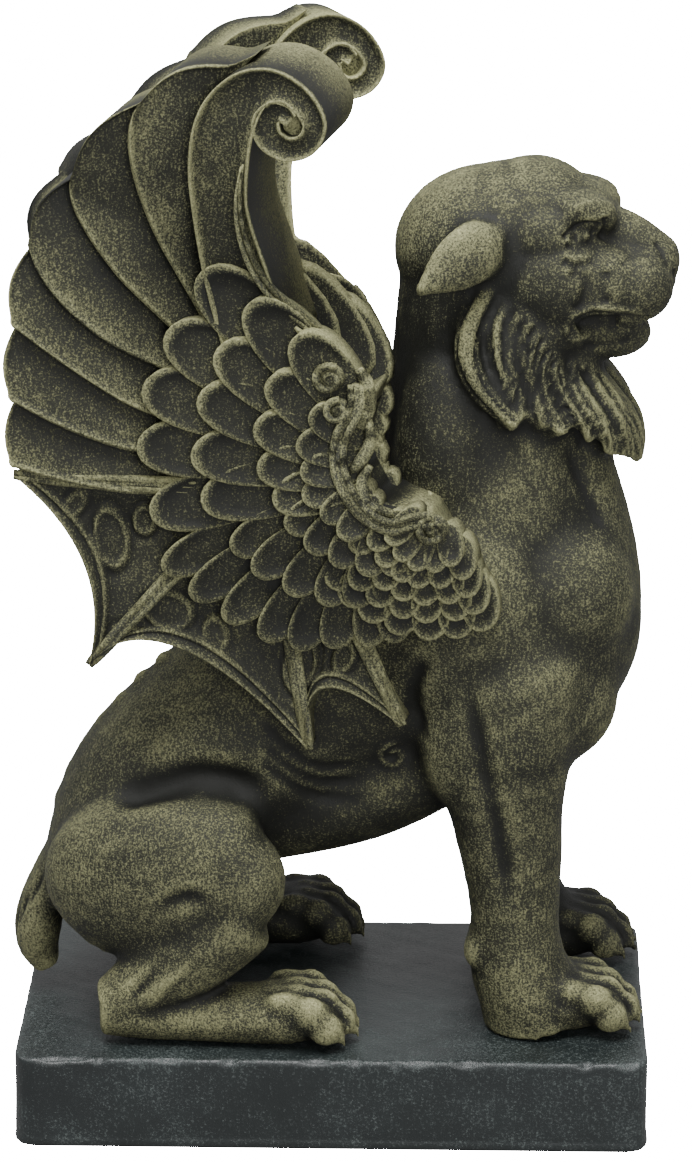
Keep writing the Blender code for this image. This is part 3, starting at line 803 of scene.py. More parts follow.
# %% Face lines: path, width, height
FACE = (
    # the socket under the brow, then the eyeball, its lids and the dark inner corner
    (((57.6, -13.6, 199.8), (61.0, -12.8, 200.4), (65.4, -10.6, 200.6)), 2.2, -0.9),
    (((59.6, -13.8, 199.4), (62.6, -12.8, 199.8)), 1.3, 1.2),
    (((56.2, -15.0, 199.4), (58.6, -14.6, 201.5), (62.0, -13.4, 202.3), (65.6, -10.8, 201.4)), 0.8, -1.5),
    (((56.6, -14.8, 198.2), (59.8, -14.2, 197.2), (63.6, -12.4, 197.8)), 0.65, -1.1),
    (((56.0, -15.2, 196.4), (59.8, -14.8, 195.2), (64.4, -12.6, 196.0)), 0.8, 0.6),
    (((55.6, -15.4, 194.8), (59.4, -15.0, 193.4), (64.6, -12.8, 194.0)), 0.9, -0.7),
    (((66.0, -10.0, 204.0), (66.4, -9.8, 200.8), (65.2, -10.8, 197.4)), 1.3, -1.6),
    # brow ridge and its wrinkles
    (((55.5, -15.0, 203.0), (60.0, -13.5, 207.0), (65.0, -10.5, 207.8), (69.0, -6.5, 205.4)), 1.8, 0.8),
    (((57.0, -10.0, 211.0), (62.0, -7.5, 210.6), (67.0, -4.5, 207.8)), 0.9, -0.6),
    # cheek folds and the rear edge of the whisker pad
    (((57.5, -15.2, 193.0), (61.5, -14.6, 189.5), (61.0, -15.2, 185.0), (58.5, -15.6, 182.0)), 1.6, -0.8),
    (((66.6, -13.2, 192.0), (65.4, -14.0, 187.0), (66.4, -13.8, 183.4)), 1.5, -0.6),
    # nostril groove, its hole, and the line over the pad
    (((77.4, -6.4, 197.0), (79.6, -6.2, 193.0), (81.8, -5.0, 189.0), (81.4, -4.2, 185.6)), 0.8, -1.1),
    (((82.6, -3.4, 189.2), (82.6, -3.8, 187.4)), 1.0, -1.4),
    (((77.0, -7.6, 194.0), (73.0, -9.4, 194.6), (69.5, -10.8, 192.4)), 1.0, -0.7),
    # mouth, open at the corner, the lip rolled round it, and the lower lip
    (
        (
            (59.2, -14.0, 177.4),
            (61.4, -13.8, 178.8),
            (64.5, -13.2, 179.2),
            (69, -12.2, 178.4),
            (73.5, -10, 177.4),
            (78, -6, 177),
        ),
        1.6,
        -3.4,
    ),
    (((60.0, -13.6, 177.2), (63.0, -13.0, 177.6), (66.0, -12.0, 177.4), (70.0, -11.0, 177.2)), 1.8, -2.2),
    (
        (
            (57.0, -14.4, 175.6),
            (56.8, -14.8, 178.6),
            (59.2, -14.8, 181.6),
            (63.4, -14.4, 182.8),
            (69, -13.4, 182),
            (74.5, -11, 180.4),
        ),
        0.85,
        0.9,
    ),
    (((57.0, -14.4, 175.6), (59.6, -14.2, 174.4), (62.8, -13.2, 174.8)), 0.9, 0.7),
    (((62.0, -12.8, 175.6), (69.0, -11.4, 175.4), (75.6, -7.6, 175.0)), 1.0, 0.5),
    (((60.0, -12.4, 171.8), (66.0, -11.0, 172.0), (72.0, -8.4, 172.6)), 1.3, -0.6),
)
for path, width, height in FACE:
    for side in (-1, 1):
        mirrored = [(x, -side * y, z) for x, y, z in path]
        body.stroke(body.draped(turned(catmull(mirrored, 4)), side), width, height, fade=0.12)
body.stroke(turned(catmull(((83.5, 0, 190), (84, 0, 186), (82, 0, 182), (80, 0, 178)), 4)), 0.9, -1.2)
body.stroke(turned(catmull(((50, 0, 216), (60, 0, 210), (66, 0, 205), (72, 0, 201)), 4)), 1.6, -0.6)
body.refresh()
print(len(FACE), "lines on each side of the face")

# %% [markdown]
# ## Hair and claws
#
# Each lock of the ruff gets a few fine grooves along it, and the cheek is combed in the same direction. The
# tail ends in combed hair, too. Grooves between the toes part them.


# %% Combed hair and toes
def shifted(path, dx, dy, dz):
    return [(x + dx, y + dy, z + dz) for x, y, z in path]


for path, radius in FILLED_LOCKS:
    for side in (-1, 1):
        lock = [(x, -side * y * 1.06, z) for x, y, z in path]
        for offset in (-1, 1):
            groove = catmull(shifted(lock, offset * radius, 0, -0.25 * offset * radius), 4)
            body.stroke(body.draped(turned(groove), side, 0.8), 0.6, -0.9, fade=0.12)
for i in range(9):
    share = i / 8
    for side in (-1, 1):
        comb = (
            (44 + 10 * share, side * 18, 187 - 13 * share),
            (42.5 + 10 * share, side * 18, 178 - 10 * share),
            (44 + 12 * share, side * 18, 167 - 8 * share),
            (48 + 14 * share, side * 18, 159 - 6 * share),
        )
        body.stroke(body.draped(turned(catmull(comb, 4)), side), 0.7, -0.65, fade=0.3)
for i in range(9):
    y = -7 + 18 * i / 8
    body.stroke(
        catmull(
            ((-66, y * 0.6, 42), (-74, y * 0.9, 30), (-80.5, y, 18), (-80.5, y * 0.9, 9), (-77, y * 0.7, 3)),
            4,
        ),
        0.75,
        -0.9,
        fade=0.2,
    )
for base_x, foot_y, reach in ((58, -20.0, 19), (58, 25.0, 19), (-11, -29.5, 18), (-11, 32.0, 18)):
    for share in (-0.67, 0, 0.67):
        y = foot_y + share * 8.4
        tip = base_x + reach
        body.stroke(
            catmull(((tip - 15, y, 15), (tip - 9, y, 13.5), (tip - 4, y, 9), (tip - 1.5, y, 3)), 4),
            1.0,
            -1.7,
            fade=0.2,
        )
body.refresh()
print("hair combed")

# %% [markdown]
# ## The wing's shape
#
# Each wing is a thick slab that stands beside the head. Its outer face carries everything: hollow long
# feathers with raised rims, rows of small feathers that fan out of the shoulder, a carved leaf along the
# front, and below a skin stretched between bony ribs. All of it is drawn flat, forward and up, and then laid
# on one gently flaring surface, so the whole wing stays in step.

# %% From the flat drawing to the wing in space
WING_SETBACK = 4.2
LEFT_WING_LEAD = 9.7
LEFT_WING_SETBACK = 3.0
LEFT_WING_DROP = 4.5
LEFT_SCROLL_DROP = 1.0
EDGE_SLANT_FORWARD = 0.28
EDGE_SLANT_UP = 0.08
SLAB_THICKNESS = 19.0
WEB_THICKNESS = 8.0
SHOULDER = np.array((20.7, 148.9))
SCROLL_EYE = np.array((-4.3, 232.9))


def outer_depth(u, w):
    """How far the outer face of the wing stands from the figure's middle plane."""
    top = 9.0 * smoothstep(w, 180, 235)
    rear = 7.0 * smoothstep(-u, 5, 65)
    return 31.0 + np.maximum(top, rear) + 4.0 * np.exp(-(((u - 22) / 18) ** 2) - ((w - 135) / 22) ** 2)


def thickness(w):
    return WEB_THICKNESS + (SLAB_THICKNESS - WEB_THICKNESS) * smoothstep(w, 125, 175)


def wing_points(side, u, w, depth):
    """Points of a wing: forward, up and out from the middle plane. The edges slant forward and up inwards."""
    inset = outer_depth(u, w) - depth
    x = u - WING_SETBACK + EDGE_SLANT_FORWARD * inset
    z = w + EDGE_SLANT_UP * inset
    if side > 0:
        x = x + LEFT_WING_LEAD * smoothstep(w, 185, 232) - LEFT_WING_SETBACK
        z = z - LEFT_WING_DROP * smoothstep(-u, 0, 35) * smoothstep(w, 195, 230)
        z = z - LEFT_SCROLL_DROP * smoothstep(w, 200, 235)
    return np.stack([x, side * depth, z], axis=-1)


def sheet(clay, shape, plan, relief, side, thick=None):
    """Lays a slab on the wing: plan gives (u, w), relief gives (rise outside, rise inside, mark)."""
    s, t, layer = shape[0].T
    u, w = plan(s, t)
    out, inner, mark = relief(s, t, u, w)
    depth = outer_depth(u, w)
    body_thick = thickness(w) if thick is None else thick
    place = (depth + out) * (1 + layer) - (depth - body_thick + inner) * layer
    held = np.where(layer > -RIM_DEPTH / 2, mark, np.where(layer > -0.5, 0.1 * mark + 0.1, 0.4 * mark + 0.2))
    clay.add(shape, wing_points(side, u, w, place), held)


print("outer face stands", float(outer_depth(0.0, 240.0)), "mm out at the top")

# %% [markdown]
# ## Long feathers and the scroll
#
# Seven rims fan out of the shoulder, each a curve with a root, a pull point and a tip. Between two rims lies
# one hollow feather: deepest just under the rim above it, then rising to its own thin bead. The first feather
# is different. It narrows as it climbs, rolls over at the top and ends in a spiral like a fern's.

# %% The hollow feathers
RIMS = (
    ((-21.7, 183.8), (-34.3, 231.0), (-19.1, 245.1)),
    ((-25.2, 180.2), (-48.1, 225.3), (-39.5, 236.6)),
    ((-28.8, 175.3), (-59.7, 210.7), (-55.1, 218.7)),
    ((-30.0, 168.0), (-63.0, 186.6), (-65.3, 203.0)),
    ((-30.2, 155.8), (-53.1, 170.0), (-69.6, 183.8)),
    ((-30.3, 149.2), (-53.4, 154.9), (-70.4, 165.8)),
    ((-29.2, 139.9), (-54.0, 143.6), (-70.6, 149.6)),
)
END_BULGE = (4.0, 4.0, 3.5, 3.0, 2.5, 2.0)
FEATHER_OVERLAP = 0.25
HOLLOW = 3.4
FLUTE = slab_template(30, 60)


def bezier(rim, t):
    root, control, tip = (np.array(p)[:, None] for p in rim)
    return root * (1 - t) ** 2 + control * 2 * t * (1 - t) + tip * t**2


def long_feathers(clay, side):
    for upper, lower, bulge in zip(RIMS, RIMS[1:], END_BULGE):
        end = np.array(lower[2]) - np.array(upper[2])
        out = np.array((end[1], -end[0])) / np.linalg.norm(end)
        out = out if out[0] < 0 else -out

        def shares(s, t):
            return 1 - (1 + FEATHER_OVERLAP) * (1 - s) ** 1.8, 1 - (1 - t) ** 1.3

        def plan(s, t):
            m, n = shares(s, t)
            u, w = bezier(upper, n) * (1 - m) + bezier(lower, n) * m
            push = bulge * np.sin(np.pi * np.clip(m, 0, 1)) * n**3
            return u + out[0] * push, w + out[1] * push

        def relief(s, t, u, w):
            m, n = shares(s, t)
            wide = np.hypot(*(bezier(lower, n) - bezier(upper, n)))
            from_rim = (1 - m) * wide
            from_end = (1 - n) * 60
            hollow = -HOLLOW * np.clip(1 - m, 0, 1.3) ** 1.5
            bead = 0.85 * hump(from_rim, 0.9, 0.75)
            lip = 0.55 * hump(from_end, 0.8, 0.7) * smoothstep(m, -0.1, 0.1)
            mark = (
                np.maximum(0.35 * hump(from_rim, 0.75, 0.6), 0.35 * hump(from_end, 0.6, 0.6))
                + 0.5 * smoothstep(m, 0.1, 1.0)
                - 0.12
            )
            sunk_root = 3.0 * (1 - smoothstep(n, 0.05, 0.35))
            return hollow + bead + lip - sunk_root, -0.6 * hollow, mark

        sheet(clay, FLUTE, plan, relief, side)


print(len(END_BULGE), "hollow feathers a wing")

# %% The scroll feather
SCROLL_STATIONS = (
    (-12.0, 176.0, 8.0),
    (-17.3, 194.8, 7.4),
    (-20.6, 210.5, 6.4),
    (-20.9, 223.2, 6.9),
    (-19.0, 233.2, 6.8),
    (-14.5, 239.6, 5.6),
    (-8.6, 241.6, 4.0),
    (-2.2, 238.6, 3.0),
    (1.2, 233.0, 2.7),
    (-0.6, 228.2, 2.8),
    (-5.0, 226.9, 2.9),
    (-9.0, 229.4, 3.1),
    (-9.8, 233.6, 3.2),
    (-6.8, 236.0, 2.5),
    (-4.0, 233.8, 1.8),
)
SCROLL_ROWS = catmull(SCROLL_STATIONS, 8)
SCROLL = slab_template(18, len(SCROLL_ROWS) - 1)


def scroll(clay, side):
    ahead = np.gradient(SCROLL_ROWS[:, :2], axis=0)
    ahead /= np.linalg.norm(ahead, axis=1)[:, None]
    left = np.stack([-ahead[:, 1], ahead[:, 0]], axis=1)

    def row_of(t):
        return np.rint(t * (len(SCROLL_ROWS) - 1)).astype(int)

    def plan(s, t):
        row = row_of(t)
        across = (2 * (s + 0.35 * s * (1 - s) * (2 * s - 1)) - 1) * SCROLL_ROWS[row, 2]
        return SCROLL_ROWS[row, 0] + left[row, 0] * across, SCROLL_ROWS[row, 1] + left[row, 1] * across

    def relief(s, t, u, w):
        half = SCROLL_ROWS[row_of(t), 2]
        from_left, from_right = 2 * half * (1 - s), 2 * half * s
        bead = 0.9 * hump(from_left, 0.7, 0.7) + 0.9 * hump(from_right, 0.7, 0.7)
        groove = 0.55 * hump(from_right, 2.4, 0.6) * (half > 5.5)
        hollow = -2.3 * np.sin(np.pi * s) ** 0.6 * np.clip(half / 6, 0.35, 1)
        mark = 0.4 * np.maximum(hump(from_left, 0.6, 0.6), hump(from_right, 0.6, 0.6)) + 0.12
        return 1.2 + hollow + bead + groove, -0.6 * hollow - bead, mark

    sheet(clay, SCROLL, plan, relief, side)
    for inset, radius in ((4.4, 7.4), (SLAB_THICKNESS / 2, 7.4), (SLAB_THICKNESS - 5.5, 7.4)):
        u, w = SCROLL_EYE
        blob(clay, wing_points(side, u, w, outer_depth(u, w) - inset), (radius, 4.0, radius))


print("scroll drawn through", len(SCROLL_STATIONS), "stations")

# %% [markdown]
# ## Small feathers
#
# Small feathers lie in rows like roof tiles, fanned round the shoulder. One feather is a ball pressed flat:
# its outline drawn out to a tongue, its middle dished, its edge left as a raised bead, and one side tipped up
# over its neighbour. The bead takes the most paint, and the dish the least. Each row is a short rule: from
# which angle to which, how far out, how many, how long and how wide.

# %% One small feather
TONGUE = 2.2


def small_feather(clay, side, tip, angle, length, width, rise, tilt, shape=BALL, inner=False):
    x, y, z = shape[0].T
    ring = np.clip(np.hypot(x, y), 1e-6, 1)
    squared = np.maximum(np.abs(x / ring) ** TONGUE + np.abs(y / ring) ** TONGUE, 1e-9) ** (-1 / TONGUE)
    along, across = x * squared, y * squared
    away = np.array((math.cos(angle), math.sin(angle)))
    beside = np.array((-away[1], away[0]))
    middle = np.array(tip) - away * length / 2
    taper = 1 - 0.16 * (1 - along) / 2
    flat = middle + np.outer(along * length / 2, away) + np.outer(across * taper * width / 2, beside)
    u, w = flat.T
    from_edge = (1 - ring) * width / 2
    near_tip = smoothstep(along, -0.2, 0.4)
    bead = 0.5 * hump(from_edge, 0.6, 0.5) * near_tip
    dish = -0.4 * smoothstep(from_edge, 0.8, 2.4) * near_tip
    lift = rise * (0.55 + 0.45 * (along + 1) / 2) + tilt * across * 0.6
    top = z > -1e-3
    out = np.where(top, lift + dish + bead, lift * 0.5 - 2.6)
    mark = np.where(top, 0.02 + 0.1 * hump(from_edge, 0.3, 0.45) * near_tip, 0.0)
    depth = outer_depth(u, w)
    if inner:
        place, mark = depth - thickness(w) - out * 0.6, mark * 0.7
    else:
        place = depth + out
    clay.add(shape, wing_points(side, u, w, place), mark)


# %% Rows round the shoulder
# Each row: first and last angle in degrees, first and last reach, how many, length and width at both ends,
# rise
FEATHER_ROWS = (
    ((134, 190), (65.5, 60), 5, (36, 32), (16.8, 15.2), 1.0),
    ((205, 279), (62, 42), 9, (26, 22), (11.6, 10.0), 1.0),
    ((130, 190), (53, 47.5), 5, (34, 34), (15.4, 15.6), 3.6),
    ((207, 279), (44.5, 31), 7, (20, 17), (11.2, 9.2), 3.6),
    ((125, 194), (40.5, 29), 5, (26, 22), (13.2, 12.0), 6.2),
    ((209, 286), (29.5, 24), 6, (16, 13), (10.0, 8.0), 6.0),
    ((140, 232), (24, 19), 6, (15, 12), (9.4, 8.0), 7.4),
)
# Scales that hang round the lower scroll of the carved leaf: angles, reach, how many, size and rise
LOWER_SCROLL = np.array((30.0, 136.0))
SCALE_ROWS = (
    ((214, 292), 30.0, 7, 9.8, 3.2),
    ((204, 296), 25.0, 7, 8.6, 4.4),
    ((200, 298), 20.0, 7, 7.8, 5.5),
    ((198, 300), 15.2, 6, 7.2, 6.5),
    ((196, 302), 10.6, 5, 6.6, 7.3),
)
HAND_MADE = np.random.default_rng(7)
TURNING_ANGLE = 200


def small_feathers(clay, side, shape=BALL, inner=False):
    for angles, reaches, count, lengths, widths, rise in FEATHER_ROWS:
        for i in range(count):
            share = i / (count - 1)
            degrees = angles[0] + (angles[1] - angles[0]) * share
            reach, length, width = (a + (b - a) * share for a, b in (reaches, lengths, widths))
            angle = math.radians(degrees + HAND_MADE.uniform(-1.2, 1.2))
            reach += HAND_MADE.uniform(-0.8, 0.8)
            tip = SHOULDER + reach * np.array((math.cos(angle), math.sin(angle)))
            tilt = 1.0 if degrees < TURNING_ANGLE else -1.0
            small_feather(clay, side, tip, angle, length, width, rise, tilt, shape, inner)


def scales(clay, side):
    for angles, reach, count, size, rise in SCALE_ROWS:
        for i in range(count):
            degrees = angles[0] + (angles[1] - angles[0]) * i / (count - 1)
            angle = math.radians(degrees + HAND_MADE.uniform(-2, 2))
            tip = LOWER_SCROLL + reach * np.array((math.cos(angle), math.sin(angle)))
            hang = math.radians(0.55 * degrees + 0.45 * 268)
            small_feather(clay, side, tip, hang, size * 1.5, size, rise, 0.0, SMALL_BALL)


print(
    sum(row[2] for row in FEATHER_ROWS),
    "small feathers and",
    sum(row[2] for row in SCALE_ROWS),
    "scales a wing",
)

# %% [markdown]
# ## Skin, ribs and carved leaf
#
# Below the feathers the wing turns into a bat's: skin between bony ribs, with a raised double border along
# each hollow edge and round cells that look like scars. The cells and borders are relief on the sheet, worked
# out from the distance to a ring or to the edge, so that they need no mesh of their own.

# %% The web and its ribs
WEB_TIPS = ((-70.6, 147.2), (-53.8, 99.4), (-1.5, 75.9), (21.0, 82.3))
WEB_HOLLOWS = ((-54.5, 125.0), (-33.0, 103.0), (2.5, 91.5))
WEB_ROOTS = ((-28.0, 143.0), (-22.0, 134.0), (-8.0, 120.0), (8.0, 112.0))
# Cells: middle, half length, half width and lean in degrees
WEB_CELLS = (
    ((-48.5, 130.6), 7.0, 3.4, 100),
    ((-40.7, 134.4), 3.2, 2.4, 90),
    ((-56.5, 139.5), 3.0, 1.8, 60),
    ((-35.3, 111.7), 5.6, 4.0, 150),
    ((-24.2, 104.8), 4.2, 2.5, 100),
    ((-44.5, 106.5), 3.0, 1.8, 160),
    ((-3.8, 96.9), 6.0, 3.4, 80),
    ((6.5, 99.0), 3.6, 2.2, 70),
)
WEB = slab_template(56, 50)


def cell_relief(u, w):
    rise, mark = np.zeros_like(u), np.zeros_like(u)
    for (cu, cw), long_half, wide_half, lean in WEB_CELLS:
        c, s = math.cos(math.radians(lean)), math.sin(math.radians(lean))
        a, b = (u - cu) * c + (w - cw) * s, -(u - cu) * s + (w - cw) * c
        ring = np.hypot(a / long_half, b / wide_half)
        from_ring = (ring - 1) * wide_half
        rise += (
            0.75 * hump(from_ring, 0, 0.55)
            - 0.5 * hump(from_ring, 1.2, 0.6)
            + 0.5 * np.clip(1 - ring, 0, 1)
        )
        mark += 0.7 * hump(from_ring, 0, 0.6)
    return rise, mark


def web(clay, side):
    for i, hollow in enumerate(WEB_HOLLOWS):
        first, last = np.array(WEB_TIPS[i]), np.array(WEB_TIPS[i + 1])
        middle = 2 * np.array(hollow) - (first + last) / 2
        root_a, root_b = np.array(WEB_ROOTS[i]), np.array(WEB_ROOTS[i + 1])

        def plan(s, t):
            s, t = s[:, None], 1 - (1 - t[:, None]) ** 1.25
            edge = first * (1 - s) ** 2 + middle * 2 * s * (1 - s) + last * s**2
            return ((root_a * (1 - s) + root_b * s) * (1 - t) + edge * t).T

        def relief(s, t, u, w):
            t = 1 - (1 - t) ** 1.25
            edge = np.stack([u, w])
            rim = plan(s, np.ones_like(s))
            from_edge = np.hypot(*(edge - rim))
            hollow_here = 2.4 * np.sin(np.pi * s) * np.sin(np.pi * np.clip(t * 1.05, 0, 1)) ** 0.5
            border = 1.5 * hump(from_edge, 0.9, 0.8) + 1.1 * hump(from_edge, 3.2, 0.7)
            cells, cell_mark = cell_relief(u, w)
            mark = (
                np.maximum(0.45 * hump(from_edge, 0.7, 0.6), 0.4 * hump(from_edge, 3.2, 0.5))
                + 0.35 * cell_mark
            )
            return -1.0 - hollow_here + border + cells * smoothstep(from_edge, 3, 5), -1.0 + 0 * u, mark

        sheet(clay, WEB, plan, relief, side, WEB_THICKNESS)


def rope(clay, side, edge, proud, sides=10, steps=4, mark=0.7):
    """A round ridge laid on the wing along flat points (u, w, radius)."""
    rows = []
    for u, w, radius in edge:
        x, y, z = wing_points(side, u, w, outer_depth(u, w) + proud)
        rows.append((x, y, z, radius, radius))
    limb(clay, rows, sides=sides, steps=steps, mark=mark)


def ribs(clay, side):
    for root, tip in zip(WEB_ROOTS, WEB_TIPS):
        run = np.array(tip) - np.array(root)
        beside = np.array((-run[1], run[0])) / np.linalg.norm(run)
        for offset, radius in ((-1.3, 1.1), (1.3, 1.1), (0.0, 1.5)):
            edge = []
            for share, slim in ((0.0, 1.0), (0.5, 0.95), (0.9, 0.9), (1.0, 0.5)):
                u, w = np.array(root) + run * share + beside * offset * (1 - 0.55 * share)
                edge.append((u, w, radius * slim))
            rope(clay, side, edge, -0.9 if offset else -1.4, mark=0.35 if offset else 0.1)


print(len(WEB_CELLS), "cells on the skin of each wing")

# %% The carved leaf along the front edge
LEAF_STEM = (
    (12.1, 170.5, 1.6),
    (12.0, 165.0, 2.2),
    (8.9, 158.8, 2.0),
    (7.9, 153.0, 1.9),
    (9.1, 147.2, 1.9),
    (13.3, 140.6, 1.9),
    (19.7, 137.0, 1.9),
    (25.6, 138.2, 2.0),
    (30.0, 138.6, 2.2),
)
LEAF_LOBES = (
    ((12.4, 174.0, 1.0), (14.4, 170.0, 1.7), (14.6, 164.5, 1.9), (12.6, 160.0, 1.2)),
    ((14.6, 162.0, 1.0), (15.2, 156.5, 1.5), (12.6, 151.5, 1.5), (10.8, 149.5, 0.8)),
    ((15.2, 151.0, 0.9), (13.2, 147.0, 1.4), (14.4, 142.0, 1.4), (20.5, 139.6, 1.0)),
)


def curl(clay, side, centre, radius, turns, start, proud, thick, mark=0.15):
    """A small spiral, rolled inwards."""
    edge = []
    for share in np.linspace(0, 1, int(10 * turns)):
        angle = math.radians(start) + 2 * math.pi * turns * share
        reach = radius * (1 - 0.82 * share)
        edge.append(
            (
                centre[0] + reach * math.cos(angle),
                centre[1] + reach * math.sin(angle),
                thick * (1 - 0.3 * share),
            )
        )
    rope(clay, side, edge, proud, sides=8, steps=2, mark=mark)
    u, w = centre
    blob(clay, wing_points(side, u, w, outer_depth(u, w) + proud - 1.6), (radius * 0.95, 2.0, radius * 0.95))


def carved_leaf(clay, side):
    rows = np.array(LEAF_STEM)
    run = np.gradient(rows[:, :2], axis=0)
    beside = np.stack([-run[:, 1], run[:, 0]], axis=1) / np.linalg.norm(run, axis=1)[:, None]
    for offset, mark in ((-1.2, 0.2), (1.2, 0.2), (0.0, -0.1)):
        edge = [
            (u + bu * offset, w + bw * offset, r * (0.48 if offset else 0.8))
            for (u, w, r), (bu, bw) in zip(rows, beside)
        ]
        rope(clay, side, edge, 6.6 if offset else 5.6, mark=mark)
    for lobe in LEAF_LOBES:
        rope(clay, side, lobe, 5.4, mark=0.1)
    strap = (
        (-15.4, 223.0, 0.2),
        (-16.4, 215.0, 0.5),
        (-15.9, 207.0, 0.7),
        (-13.6, 198.8, 0.8),
        (-9.6, 191.8, 0.9),
        (-4.6, 187.0, 1.0),
        (0.4, 182.6, 1.0),
        (5.0, 178.0, 1.0),
        (9.6, 173.5, 0.8),
    )
    for offset in (-0.8, 0.8):
        rope(
            clay, side, [(u + offset * r, w + offset * 0.5 * r, r * 0.8) for u, w, r in strap], 1.9, mark=0.35
        )
    rope(clay, side, [(u, w, r * 1.4) for u, w, r in strap], 0.8, mark=0.05)
    rope(
        clay,
        side,
        ((-3.0, 183.2, 0.4), (-0.4, 180.6, 1.1), (2.4, 177.6, 1.1), (4.6, 175.0, 0.5)),
        3.4,
        mark=0.6,
    )
    curl(clay, side, (5.6, 171.6), 3.6, 1.4, 60, 6.4, 1.0)
    curl(clay, side, (7.8, 164.0), 3.0, 1.3, 80, 6.8, 1.0)
    curl(clay, side, (30.2, 136.0), 3.6, 1.4, 100, 6.6, 1.1)


# Where the wing's front edge stands beside the neck: heights, and how far forward
FRONT_HEIGHTS = (136.0, 140.6, 147.2, 153.0, 158.8, 165.0, 170.5, 180.0, 195.0)
FRONT_EDGE = (40.0, 15.5, 11.0, 10.0, 11.0, 13.0, 13.0, 3.0, -8.0)
CORE = slab_template(32, 16)


def wing_core(clay, side):
    """The solid under the small feathers."""

    def plan(s, t):
        angle = np.radians(118 + 182 * s)
        reach = (18 + 40 * smoothstep(s, 0.05, 0.35) - 30 * smoothstep(s, 0.5, 1.0)) * (0.04 + 0.96 * t)
        u, w = SHOULDER[0] + reach * np.cos(angle), SHOULDER[1] + reach * np.sin(angle)
        return np.minimum(u, np.interp(w, FRONT_HEIGHTS, FRONT_EDGE)), w

    def relief(s, t, u, w):
        inner = np.maximum(8.0, outer_depth(u, w) - thickness(w) - 4.0) - (outer_depth(u, w) - thickness(w))
        # A low mark: the core shows the darkest colour, painted shade in the gaps between the small feathers,
        # where a dry brush would not reach either.
        return 3.0 * (1 - t) - 3.0 * smoothstep(t, 0.8, 1.0), inner, 0.0 * u - 0.7

    sheet(clay, CORE, plan, relief, side)


wings = {}
for name, side in (("wing_right", -1), ("wing_left", 1)):
    clay = Clay()
    wing_core(clay, side)
    long_feathers(clay, side)
    scroll(clay, side)
    small_feathers(clay, side)
    small_feathers(clay, side, SMALL_BALL, inner=True)
    scales(clay, side)
    web(clay, side)
    ribs(clay, side)
    carved_leaf(clay, side)
    wings[name] = (clay.mesh(name), np.concatenate(clay.marks))
    print(name, clay.count, "points")

# %% [markdown]
# ## Where the paint catches
#
# A nearly dry brush only touches what stands out. How much a point stands out is measured by comparing it
# with a smoothed copy of the surface: a little smoothing finds rims and wrinkles, a lot of smoothing finds
# whole muscles. Both are kept on the mesh as attributes, so that the paint sticks to the shape from every
# side. A third value, the mark, says where more or less paint goes, and on the body it holds painted light and
# shade too: a painted highlight on the crown of the head, and painted shade on the neck, the flank, the groin,
# the belly and the left paws.


# %% Measure rims and forms, and keep them on the mesh
def stand_out(surface, rounds):
    smooth = surface.softened(surface.points.copy(), rounds)
    return ((surface.points - smooth) * surface.normals).sum(axis=1)


def keep(mesh, name, values):
    layer = mesh.attributes.new(name, "FLOAT", "POINT")
    layer.data.foreach_set("value", np.asarray(values, np.float32))


def finish_piece(name, mesh, mark, rim_size, form_size):
    surface = Surface(mesh)
    fine = stand_out(surface, 4)
    broad = stand_out(surface, 40)
    keep(mesh, "fine", np.clip(fine / rim_size, -1, 1))
    keep(mesh, "broad", np.clip(broad / form_size, -1, 1))
    keep(mesh, "mark", mark)
    surface.points = in_metres(surface.points)
    surface.points[:, 2] = np.maximum(surface.points[:, 2], SOLES)
    surface.refresh()
    mesh.shade_smooth()
    obj = bpy.data.objects.new(name, mesh)
    bpy.context.scene.collection.objects.link(obj)
    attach(obj, "root")
    print(
        name,
        len(mesh.vertices),
        "points,",
        sum(len(face.vertices) - 2 for face in mesh.polygons),
        "triangles",
    )
    return obj


# How far a rim or a form has to stand out, in drawn millimetres, to count in full
BODY_RIM, BODY_FORM = 0.16, 1.5
WING_RIM, WING_FORM = 0.5, 3.5

# The body's mark holds painted light and shade as well as paint: a painted highlight on the crown, which faces
# the light, and painted shade on the neck, the flank, the groin, the belly and the left paws.
x, y, z = body.points.T
neck_in_shade = np.exp(-(((x - 21) / 17) ** 2) - ((z - 166) / 24) ** 2)
flank_in_shade = np.exp(-(((x + 12) / 26) ** 2) - ((z - 74) / 13) ** 2)
left_paws_in_shade = smoothstep(y, 8, 18) * (1 - smoothstep(z, 30, 50))
belly_in_shade = np.exp(-(((x - 4) / 26) ** 2) - ((z - 55) / 9) ** 2)
groin_in_shade = np.exp(-(((x + 44) / 15) ** 2) - ((z - 65) / 5) ** 2)
crown_in_light = np.exp(-(((x - 38) / 24) ** 2) - ((z - 212) / 9) ** 2)
body_paint_and_shade = 0.12 + 0.12 * crown_in_light - 0.6 * neck_in_shade - 0.3 * flank_in_shade - 0.7 * left_paws_in_shade
body_paint_and_shade -= 0.4 * groin_in_shade + 0.35 * belly_in_shade
body_piece = finish_piece("beast", body.mesh, body_paint_and_shade, BODY_RIM, BODY_FORM)
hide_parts("winged_gargoyle")
wing_pieces = []
for name, (mesh, mark) in wings.items():
    piece = finish_piece(name, mesh, mark, WING_RIM, WING_FORM)
    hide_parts("winged_gargoyle")
    wing_pieces.append(piece)

# %% [markdown]
# ## The slab
#
# The slab is a plain block with worn edges. It is a cube whose edges are bevelled, cut into small faces and
# then roughened: its faces are uneven, and chips are knocked out of the upper long edges, three in four of
# them at the front, and more of them towards the tail.

# %% A block with worn edges
SLAB_GRAIN = 0.0009
CORNER_RADIUS = 0.005
EDGE_RADIUS = 0.0007
CHIPS = 26
CHIP_DEPTH = 0.0011
FRONT_CHIPS_SHARE = 0.75
SLAB_RIM = 0.0005
SLAB_FORM = 0.003


